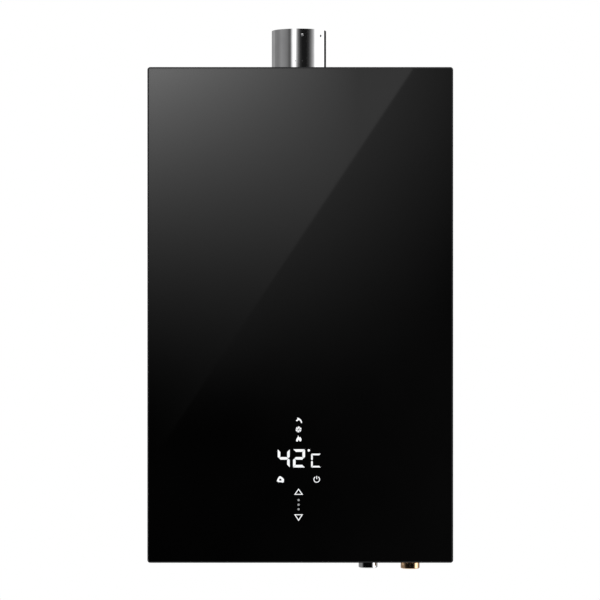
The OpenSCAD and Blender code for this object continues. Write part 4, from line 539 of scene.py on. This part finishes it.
# %% Powder coat
# Half-matt black whose shine is broken up by the peel.
coat_look, tree = new_look("black_powder_coat")
place = add(tree, "TexCoord").outputs["Object"]
peel = add(tree, "TexNoise", {"Scale": per_metre(1.1), "Detail": 2.0}, {"Vector": place}).outputs["Fac"]
cloud = add(tree, "TexNoise", {"Scale": per_metre(45), "Detail": 2.0}, {"Vector": place}).outputs["Fac"]
shade = add(tree, "ValToRGB", {"stops": [(0.3, "#141416"), (0.7, "#1b1b1d")]}, {0: cloud})
gloss = add(tree, "MapRange", {"To Min": 0.36, "To Max": 0.5}, {"Value": peel})
fold = add(tree, "Bevel", {"Radius": 0.8 * MM})
bump = add(tree, "Bump", {"Strength": 0.18, "Distance": 0.15 * MM}, {"Height": peel, "Normal": fold})
surface = add(tree, "BsdfPrincipled", links={"Base Color": shade, "Roughness": gloss, "Normal": bump})
add(tree, "OutputMaterial", links={"Surface": surface})
finish["powder_coat"] = coat_look
print("cover:", coat_look.name)

# %% Galvanised sheet
# A dull patchwork of greys, each patch with a gloss of its own.
zinc_look, tree = new_look("spangled_galvanised_sheet")
place = add(tree, "TexCoord").outputs["Object"]
warp = add(tree, "TexNoise", {"Scale": per_metre(6), "Detail": 3.0}, {"Vector": place}).outputs["Color"]
bent = add(tree, "VectorMath", {"operation": "MULTIPLY_ADD", 1: (3 * MM,) * 3}, {0: warp, 2: place})
crystal = add(tree, "TexVoronoi", {"Scale": per_metre(11)}, {"Vector": bent}).outputs["Color"]
tilt = add(tree, "SeparateColor", links={0: crystal})
shade = add(tree, "ValToRGB", {"stops": [(0.1, "#a2a6a9"), (0.9, "#c2c6c8")]}, {0: tilt})
gloss = add(tree, "MapRange", {"To Min": 0.3, "To Max": 0.48}, {"Value": tilt.outputs[1]})
fold = add(tree, "Bevel", {"Radius": 2.5 * MM})
step = {"Height": tilt.outputs[2], "Normal": fold}
bump = add(tree, "Bump", {"Strength": 0.05, "Distance": 0.1 * MM}, step)
parts = {"Base Color": shade, "Roughness": gloss, "Normal": bump}
surface = add(tree, "BsdfPrincipled", {"Metallic": 1.0}, parts)
add(tree, "OutputMaterial", links={"Surface": surface})
finish["galvanised_steel"] = zinc_look
print("chassis:", zinc_look.name)

# %% [markdown]
# ## Polished stainless steel and turned brass
#
# The flue collar is stainless tube, polished on a turning wheel, so what is left of its grain runs round
# it. The water fittings are brass turned on a lathe, with the tool's fine rings. The shader's own
# anisotropy could stretch the highlights, but it shows no lines, so noise is squeezed along the axis and
# drawn out round it. The real lines are a few hundredths of a millimetre apart, too fine to show, so they
# are drawn a few tenths apart. The wheel never reaches into the flue: closer to its axis than the bore's
# wall, the metal keeps the rougher surface of the rolling mill, and its colour turns a darker grey, which
# is painted shade inside the bore.

# %% Turned and polished finishes
RINGED = {
    # slot: (material and making, dark shade, light shade, roughness range, ring spacing in mm, relief)
    # A near mirror whose bands are a little soft along the rings.
    "stainless": ("polished_stainless_tube", "#dededf", "#ebebec", (0.03, 0.06), 0.35, 0.008),
    # Pale gold with fine bright rings.
    "brass": ("turned_brass", "#e4b98c", "#eec79e", (0.07, 0.13), 0.45, 0.015),
}
print("ring spacing in mm:", {slot: row[4] for slot, row in RINGED.items()})

# %% One recipe for turned and polished metal
RING_SQUEEZE = (0.04, 0.04, 1.0)
FLUE_BORE_R = 29.4 * MM
# Colour inside the flue's bore: a darker grey that is painted shade, beside the mill's real roughness.
MILL_GREY_AND_BORE_SHADE = "#8b8b8c"
MILL_ROUGHNESS = 0.42
for slot, (name, dark, light, rough, rings, relief) in RINGED.items():
    look, tree = new_look(name)
    place = add(tree, "TexCoord").outputs["Object"]
    drawn = add(tree, "Mapping", {"Scale": RING_SQUEEZE}, {"Vector": place})
    turned = {"Scale": per_metre(rings), "Detail": 3.0}
    line = add(tree, "TexNoise", turned, {"Vector": drawn}).outputs["Fac"]
    cloud = add(tree, "TexNoise", {"Scale": per_metre(18), "Detail": 3.0}, {"Vector": place}).outputs["Fac"]
    shade = add(tree, "ValToRGB", {"stops": [(0.3, dark), (0.7, light)]}, {0: cloud})
    span = {"From Min": 0.3, "From Max": 0.7, "To Min": rough[0], "To Max": rough[1]}
    gloss = add(tree, "MapRange", span, {"Value": line})
    from_axis = {"operation": "MULTIPLY_ADD", 1: (1, 1, 0), 2: (-FLUE_X, -FLUE_Y, 0)}
    out = add(tree, "VectorMath", from_axis, {0: place})
    far = add(tree, "VectorMath", {"operation": "LENGTH"}, {0: out}).outputs["Value"]
    # Marks the bore, which takes the mill's roughness and a darker grey of painted shade.
    dull_and_shaded = add(tree, "Math", {"operation": "LESS_THAN", 1: FLUE_BORE_R}, {0: far})
    shade = add(tree, "MixRGB", {2: linear(MILL_GREY_AND_BORE_SHADE)}, {0: dull_and_shaded, 1: shade})
    gloss = add(tree, "MapRange", {"To Max": MILL_ROUGHNESS}, {"Value": dull_and_shaded, "To Min": gloss})
    bump = add(tree, "Bump", {"Strength": relief, "Distance": 0.05 * MM}, {"Height": line})
    parts = {"Base Color": shade, "Roughness": gloss, "Normal": bump}
    surface = add(tree, "BsdfPrincipled", {"Metallic": 1.0}, parts)
    add(tree, "OutputMaterial", links={"Surface": surface})
    finish[slot] = look
    print(slot, "is", name)

# %% [markdown]
# ## Dress every solid
#
# The solids arrive plain. Each could be dressed by name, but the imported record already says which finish
# slot each one takes. So one loop gives every solid its material, the hidden works as well as the casing.

# %% Materials on the CAD solids
for entry in frame["record"]["subparts"]:
    mesh = frame["nodes"][entry["node"]].data
    mesh.materials.clear()
    mesh.materials.append(finish[entry["material_slot"]])
    mesh.polygons.foreach_set("material_index", [0] * len(mesh.polygons))

# %% [markdown]
# ## Making a piece
#
# Some solids are too plain for a close look: pipe ends without threads, screws without recesses. Their
# stand-ins could be modelled by hand, but their sizes would then be hidden in the mesh. So each is drawn
# in millimetres in a bmesh, where every size can be read, and one helper scales it, ties it to the body
# that carries it and hides the solid that it stands for.

# %% Helper for pieces
def piece(name, bm, looks, body, slot, *stands_for, smooth=35):
    bmesh.ops.recalc_face_normals(bm, faces=bm.faces)
    bmesh.ops.scale(bm, vec=(MM, MM, MM), verts=bm.verts)
    mesh = bpy.data.meshes.new(name)
    bm.to_mesh(mesh)
    bm.free()
    for look in looks:
        mesh.materials.append(look)
    mesh.polygons.foreach_set("use_smooth", [True] * len(mesh.polygons))
    mesh.set_sharp_from_angle(angle=math.radians(smooth))
    obj = bpy.data.objects.new(name, mesh)
    scene.collection.objects.link(obj)
    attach(obj, body)
    if stands_for:
        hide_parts(*stands_for)
    print(f"{name}: {len(mesh.vertices)} points, on {body}")


# %% [markdown]
# ## Glass panel
#
# The solid glass is right in size, but its rounded corners come as a few flats, and a Bevel modifier
# would round its front and its back alike. So this one is drawn as three outlines joined in turn, back,
# side and front, with a dozen points round each corner and the ground edge between the last two. The
# front lies a hair behind the solid's, so that the lit signs can be flush with it.

# %% Outline of the glass
glass_low, glass_high = (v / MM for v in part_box("glass_panel"))
CORNER_R = 3.0
CORNER_STEPS = 12
GROUND_EDGE = 1.6
HAIR = 0.03
SIGN_Y = glass_low.y
FRONT_Y = SIGN_Y + HAIR


def glass_outline(inset):
    r = CORNER_R - inset
    left = glass_low.x + inset + r
    right = glass_high.x - inset - r
    foot = glass_low.z + inset + r
    top = glass_high.z - inset - r
    outline = []
    for x, z, start in ((right, top, 0), (left, top, 90), (left, foot, 180), (right, foot, 270)):
        for k in range(CORNER_STEPS + 1):
            angle = math.radians(start + 90 * k / CORNER_STEPS)
            outline.append((x + r * math.cos(angle), z + r * math.sin(angle)))
    return outline


print("glass in mm:", [round(high - low, 1) for low, high in zip(glass_low, glass_high)])

# %% Glass panel
bm = bmesh.new()
loops = []
for y, inset in ((glass_high.y, 0.0), (SIGN_Y + GROUND_EDGE, 0.0), (FRONT_Y, GROUND_EDGE)):
    loops.append([bm.verts.new((x, y, z)) for x, z in glass_outline(inset)])
for a, b in zip(loops, loops[1:]):
    for k in range(len(a)):
        bm.faces.new((a[k], a[k - 1], b[k - 1], b[k])).material_index = 1
bm.faces.new(loops[0])
bm.faces.new(loops[2])
piece("glass_front", bm, [glass_look, edge_look], "heater", "enamelled_glass", "glass_panel", smooth=20)

# %% [markdown]
# ## Lit signs
#
# The display sits behind the glass and shines through gaps in the enamel: two digits, a degree mark and
# plain signs for tap, fan, flame, mode, power and the two arrows. A picture could carry them, but it
# would blur up close. So each sign is a flat plate set flush in the glass. White light from a diffuser is
# never quite even, so a soft noise moves its tint a little.

# %% Light of the signs
# An even, cool white glow, with small clouds 5 mm across.
SIGN_LIGHTS = (("lit_white_diffuser", 1.05), ("dim_white_diffuser", 0.33))
lit = {}
for name, strength in SIGN_LIGHTS:
    look, tree = new_look(name)
    place = add(tree, "TexCoord").outputs["Object"]
    cloud = add(tree, "TexNoise", {"Scale": per_metre(5), "Detail": 1.0}, {"Vector": place}).outputs["Fac"]
    tint = add(tree, "ValToRGB", {"stops": [(0.3, "#f2f5f8"), (0.7, "#ffffff")]}, {0: cloud})
    plate = {"Base Color": linear("#202020"), "Roughness": 0.3, "Emission Strength": strength}
    surface = add(tree, "BsdfPrincipled", plate, {"Emission Color": tint})
    add(tree, "OutputMaterial", links={"Surface": surface})
    lit[name] = look
print("sign lights:", list(lit))

# %% [markdown]
# ### Shapes of the signs
#
# A digit on such a display is seven bars with mitred ends, named a to g clockwise from the top with g in
# the middle. A font could draw it, but no font has these gaps. So three bars are drawn, top, upper left
# and middle, and the other four are these turned over. The remaining signs are outlines in millimetres.

# %% Bars of a digit
BAR_GAP = 0.25


def bars(low_x, high_x, low_z, high_z, thick, wanted, gap=BAR_GAP):
    half = thick / 2
    mid = (low_z + high_z) / 2
    left = low_x + gap
    right = high_x - gap
    foot = mid + half + gap
    flat = [
        (left, high_z), (right, high_z), (right - thick, high_z - thick), (left + thick, high_z - thick),
    ]
    post = [
        (low_x, high_z - gap), (low_x + thick, high_z - thick - gap), (low_x + thick, foot),
        (low_x + half, mid + gap), (low_x, foot),
    ]
    cross = [
        (left + half, mid), (left + thick, mid + half), (right - thick, mid + half),
        (right - half, mid), (right - thick, mid - half), (left + thick, mid - half),
    ]

    def turned(shape, sideways, over):
        return [(low_x + high_x - x if sideways else x, 2 * mid - z if over else z) for x, z in shape]

    shapes = {"a": flat, "b": turned(post, True, False), "c": turned(post, True, True)}
    shapes |= {"d": turned(flat, False, True), "e": turned(post, False, True), "f": post, "g": cross}
    return [shapes[key] for key in wanted]


print("bars stand", 2 * BAR_GAP, "mm apart")

# %% Digits and degree mark
def circle(x, z, r, steps=28, start=0, sweep=360):
    count = steps if sweep == 360 else steps + 1
    turns = [math.radians(start + sweep * k / steps) for k in range(count)]
    return [(x + r * math.cos(a), z + r * math.sin(a)) for a in turns]


DIGIT_LOW = -164.5
DIGIT_HIGH = -144.9
LETTER_HIGH = -149.6
BAR = 2.75
THIN_BAR = 1.75
DEGREE_R = 1.3
filled = bars(-24.3, -11.4, DIGIT_LOW, DIGIT_HIGH, BAR, "fgbc")
filled += bars(-7.8, 5.1, DIGIT_LOW, DIGIT_HIGH, BAR, "abged")
filled += bars(11.7, 22.3, DIGIT_LOW, LETTER_HIGH, THIN_BAR, "afed")
filled += [circle(9.2, -146.1, DEGREE_R)]
print(len(filled), "shapes in the temperature")

# %% Tap, flame, fan and power
TAP = [
    (-3.0, -110.6), (-0.9, -111.6), (0.8, -113.0), (2.0, -115.4), (1.6, -116.5), (0.9, -116.7),
    (0.2, -114.7), (-0.9, -113.6), (-2.2, -113.6), (-3.3, -114.7), (-4.5, -114.4), (-4.7, -113.7),
    (-3.3, -112.8),
]
FLAME = [
    (-2.1, -129.9), (-1.2, -132.4), (-0.1, -131.6), (1.0, -133.0), (1.4, -134.9), (0.2, -136.7),
    (-1.0, -135.7), (-1.7, -134.3), (-2.4, -136.0), (-3.5, -136.9), (-4.7, -135.5), (-4.0, -133.4),
    (-2.9, -131.9),
]
filled += [TAP, FLAME]
FAN = (-1.85, -123.5)
FAN_R = 3.1
HUB_R = 0.6
for start in range(0, 360, 60):
    filled.append(circle(*FAN, FAN_R, 6, start, 46) + circle(*FAN, HUB_R, 3, start, 36)[::-1])
POWER = (17.75, -177.4)
RING_R = 3.5
RING_HOLE_R = 2.65
STROKE = ((-0.42, 3.7), (0.42, 3.7), (0.42, 0.4), (-0.42, 0.4))
filled.append([(POWER[0] + x, POWER[1] + z) for x, z in STROKE])
# Hollow signs: outer loop, inner loop, and whether the loops close.
ring, hole = (circle(*POWER, r, 40, 121, 298) for r in (RING_R, RING_HOLE_R))
hollow = [(ring, hole, False)]
print(len(filled), "filled shapes so far")

# %% Mode sign and arrows
def shrunk(loop, x, z, share):
    return [(x + share * (px - x), z + share * (pz - z)) for px, pz in loop]


MODE = [
    (-21.8, -173.8), (-19.7, -175.0), (-17.5, -177.3), (-17.8, -180.2), (-18.7, -180.9), (-21.5, -180.3),
    (-23.7, -180.4), (-25.4, -179.2), (-24.4, -176.6), (-23.1, -174.5),
]
MODE_HOLE = 0.36
hollow.append((MODE, shrunk(MODE, -21.7, -177.8, MODE_HOLE), True))
COLUMN_X = -1.83
ARROW_HALF_W = 4.8
ARROW_HOLE = 0.65
for tip, foot in ((-187.2, -193.9), (-222.3, -215.1)):
    arrow = [(COLUMN_X, tip), (COLUMN_X + ARROW_HALF_W, foot), (COLUMN_X - ARROW_HALF_W, foot)]
    hollow.append((arrow, shrunk(arrow, COLUMN_X, (2 * foot + tip) / 3, ARROW_HOLE), True))
print(len(filled) + len(hollow), "sign shapes")

# %% Sign plates
PLATE_DEPTH = 0.5
DOT_R = 1.2


def sign_plates(name, look, filled, hollow):
    bm = bmesh.new()

    def front_and_back(loop):
        return [[bm.verts.new((x, y, z)) for x, z in loop] for y in (SIGN_Y, SIGN_Y + PLATE_DEPTH)]

    def strip(a, b, closed=True):
        for k in range(0 if closed else 1, len(a)):
            bm.faces.new((a[k - 1], a[k], b[k], b[k - 1]))

    for shape in filled:
        front, back = front_and_back(shape)
        bm.faces.new(front)
        bm.faces.new(back)
        strip(front, back)
    for outer, inner, closed in hollow:
        a, d = front_and_back(outer)
        b, c = front_and_back(inner)
        for one, other in ((a, b), (b, c), (c, d), (d, a)):
            strip(one, other, closed)
        if not closed:
            for k in (0, -1):
                bm.faces.new((a[k], b[k], c[k], d[k]))
    piece(name, bm, [look], "heater", "white_plastic")


dots = [circle(COLUMN_X, z, DOT_R) for z in (-199.7, -204.7, -209.6)]
sign_plates("lit_signs", lit["lit_white_diffuser"], filled, hollow)
sign_plates("lit_dots", lit["dim_white_diffuser"], dots, [])

# %% [markdown]
# ## Turned fittings with real threads
#
# The gas nipple, the cold inlet and the hot outlet are turned from bar, then threaded. A Screw modifier
# could wind a thread, but it leaves its ends open. Here a lathe in code spins an outline of radius and
# height round the fitting's axis. Where the outline is marked as thread, the radius also depends on the
# angle, so the groove climbs 1.81 mm a turn as on a half-inch pipe thread. Where it is marked as hexagon,
# the radius follows the six flats. So one closed skin holds it all.

# %% Lathe
PITCH = 1.814
GROOVE = 1.0


def lathe(bm, outline, centre, sides=96):
    rows = []
    for r, z, *mark in outline:
        row = []
        for k in range(sides if r > 0 else 1):
            angle = 2 * math.pi * k / sides
            reach = r
            if "hex" in mark:
                reach = r / math.cos((angle + math.pi / 6) % (math.pi / 3) - math.pi / 6)
            if "thread" in mark:
                reach = r - GROOVE * abs(2 * ((z / PITCH - k / sides) % 1) - 1)
            x = centre[0] + reach * math.cos(angle)
            y = centre[1] + reach * math.sin(angle)
            row.append(bm.verts.new((x, y, z)))
        rows.append(row)
    for a, b in zip(rows, rows[1:] + rows[:1]):
        for k in range(sides):
            corners = [a[k % len(a)], a[(k + 1) % len(a)], b[(k + 1) % len(b)], b[k % len(b)]]
            corners = list(dict.fromkeys(corners))
            if len(corners) > 2:
                bm.faces.new(corners)


print("half-inch pipe thread:", round(25.4 / PITCH), "turns to the inch")

# %% Threaded pipe end
PIPE_R = 10.48
CASE_FLOOR = -263.2


def thread(low, high, step=0.25):
    count = round((high - low) / step)
    return [(PIPE_R, low + (high - low) * k / count, "thread") for k in range(count + 1)]


def pipe_end(end, plain, bore):
    shoulder = end + plain
    return [
        (bore, end + 0.6), (bore + 0.6, end), (PIPE_R - 0.7, end), (PIPE_R, end + 0.7), (PIPE_R, shoulder),
        (PIPE_R - GROOVE, shoulder + 1.0), *thread(shoulder + 1.2, CASE_FLOOR - 1.0),
        (PIPE_R - GROOVE, CASE_FLOOR - 0.6),
    ]


GAS_END = -279.5
PLAIN_END = 6.5
gas_end = pipe_end(GAS_END, PLAIN_END, 6.0)
print("gas pipe end:", len(gas_end), "points in its outline")

# %% Gas nipple and hot outlet
PIPES_Y = -68.0
bm = bmesh.new()
lathe(bm, gas_end + [
    (12.6, CASE_FLOOR), (13.5, CASE_FLOOR + 0.6, "hex"), (13.5, -252.8, "hex"), (12.6, -252.2),
    (6.95, -252.2), (6.95, -245.6), (6.5, -245.2), (6.0, -245.2),
], (75.0, PIPES_Y))
piece("gas_nipple_threaded", bm, [finish["stainless"]], "heater", "stainless", "gas_nipple", smooth=25)
bm = bmesh.new()
lathe(bm, pipe_end(-273.5, 2.0, 8.0) + [
    (14.2, CASE_FLOOR), (15.0, CASE_FLOOR + 0.7, "hex"), (15.0, -253.9, "hex"), (14.2, -253.2),
    (10.35, -253.2), (10.35, -247.7), (9.85, -247.2), (6.45, -247.2), (6.45, -255.2), (5.55, -255.2),
    (5.55, -261.2), (8.0, -261.2),
], (-136.0, PIPES_Y))
piece("hot_outlet_threaded", bm, [finish["brass"]], "heater", "brass", "hot_fitting", smooth=25)

# %% Cold inlet with its turbine chamber and drain boss
COLD_X = 121.5
bm = bmesh.new()
lathe(bm, pipe_end(-280.4, PLAIN_END, 8.0) + [
    (16.5, CASE_FLOOR), (17.0, CASE_FLOOR + 0.5), (17.0, -258.7), (16.5, -258.2), (14.0, -258.2),
    (14.0, -221.0), (13.2, -220.2), (10.35, -220.2), (10.35, -205.7), (9.85, -205.2), (6.45, -205.2),
    (6.45, -213.2), (5.55, -213.2), (5.55, -224.2), (8.0, -224.2),
], (COLD_X, PIPES_Y))
lathe(bm, [
    (6.0, -258.2), (10.5, -258.2), (11.0, -257.7), (11.0, -240.7), (10.5, -240.2), (6.0, -240.2),
], (COLD_X, -94.0), 64)
bridge = bmesh.ops.create_cube(bm, size=1.0)["verts"]
bmesh.ops.scale(bm, vec=(16.0, 9.0, 17.0), verts=bridge)
bmesh.ops.translate(bm, vec=(COLD_X, -82.8, -249.2), verts=bridge)
piece("cold_inlet_threaded", bm, [finish["brass"]], "heater", "brass", "water_valve_body", smooth=25)

# %% [markdown]
# ## Pan-head screws
#
# Eight screws show, four in the collar's flange and four in the cover. Their solids are plain discs. A
# real one has a domed pan head with a cross recess. A bump in the material could hint at the cross, but
# it has no depth from the side. So one head is lathed, a cross is cut out of it with a Boolean, and the
# result is set down wherever a screw goes, each turned a little differently, as hands leave them.

# %% Blank of a screw head
HEAD = [(0.0, 0.0), (3.5, 0.0), (3.5, 0.7), (3.25, 1.35), (2.6, 1.85), (1.5, 2.12), (0.0, 2.2)]


def blank(name, bm):
    bmesh.ops.recalc_face_normals(bm, faces=bm.faces)
    mesh = bpy.data.meshes.new(name)
    bm.to_mesh(mesh)
    bm.free()
    obj = bpy.data.objects.new(name, mesh)
    scene.collection.objects.link(obj)
    return obj


bm = bmesh.new()
lathe(bm, HEAD, (0.0, 0.0), 40)
head = blank("head", bm)
print("head blank:", len(head.data.vertices), "points")

# %% Blank of its recess
ARM = 1.75
HALF_ARM_W = 0.42
RECESS_TAPER = 0.7
RECESS_FLOOR = 0.9
RECESS_TOP = 3.0
cross = [(HALF_ARM_W, HALF_ARM_W), (HALF_ARM_W, ARM), (-HALF_ARM_W, ARM)]
cross += [(-y, x) for x, y in cross]
cross += [(-x, -y) for x, y in cross]
bm = bmesh.new()
low = [bm.verts.new((RECESS_TAPER * x, RECESS_TAPER * y, RECESS_FLOOR)) for x, y in cross]
high = [bm.verts.new((x, y, RECESS_TOP)) for x, y in cross]
bm.faces.new(low[::-1])
bm.faces.new(high)
for k in range(len(cross)):
    bm.faces.new((low[k - 1], low[k], high[k], high[k - 1]))
cutter = blank("cross", bm)
print("recess:", len(cross), "corners")

# %% One screw head
cut = head.modifiers.new("recess", "BOOLEAN")
cut.operation = "DIFFERENCE"
cut.object = cutter
cut_head = bpy.data.meshes.new_from_object(head.evaluated_get(bpy.context.evaluated_depsgraph_get()))
for spare in (head, cutter):
    bpy.data.objects.remove(spare)
print("screw head:", len(cut_head.vertices), "points")

# %% Helper for a set of screws
SHANK_R = 1.75
TIP_R = 1.0
TIP_LENGTH = 1.2
SUNK = 0.2
FIRST_TURN = 11
NEXT_TURN = 37


def screws(name, node, places, length):
    bm = bmesh.new()
    tip = -length
    shank = [(0.0, tip), (TIP_R, tip), (SHANK_R, tip + TIP_LENGTH), (SHANK_R, SUNK), (0.0, SUNK)]
    for n, (x, y, z, side) in enumerate(places):
        start = len(bm.verts)
        bm.from_mesh(cut_head)
        lathe(bm, shank, (0.0, 0.0), 20)
        bm.verts.ensure_lookup_table()
        turn = math.radians(NEXT_TURN * n + FIRST_TURN)
        c = math.cos(turn)
        s = math.sin(turn)
        for v in bm.verts[start:]:
            px, py, pz = v.co
            v.co = (x + px * c - py * s, y + px * s + py * c, z + side * pz)
    piece(name, bm, [finish["screw_steel"]], "heater", "screw_steel", node, smooth=28)


print("each screw is turned", NEXT_TURN, "degrees past the last")

# %% Screws in the flange and in the cover
FLANGE_SCREW_R = 36.5
FLANGE_TOP = 267.2
COVER_SCREW_X = 108.667
COVER_SCREW_Y = -126.0
COVER_SCREW_Z = 265.5
in_flange = []
for turn in (45, 135, 225, 315):
    x = FLUE_X / MM + FLANGE_SCREW_R * math.cos(math.radians(turn))
    y = FLUE_Y / MM + FLANGE_SCREW_R * math.sin(math.radians(turn))
    in_flange.append((x, y, FLANGE_TOP, 1))
in_cover = []
for x in (-COVER_SCREW_X, COVER_SCREW_X):
    for side in (1, -1):
        in_cover.append((x, COVER_SCREW_Y, side * COVER_SCREW_Z, side))
screws("flue_flange_screws", "flue_screws", in_flange, 10.0)
screws("cover_edge_screws", "cover_screws", in_cover, 8.0)

# %% [markdown]
# ## Finish
#
# Everything shown should lie within the box of the solids. It could be judged by eye, but numbers are
# surer, so both boxes are printed in millimetres, the solids' at the start and this one here.

# %% Boxes and the last line
low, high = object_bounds()
print("visual box in mm:", [round(v / MM, 1) for v in (*low, *high)])
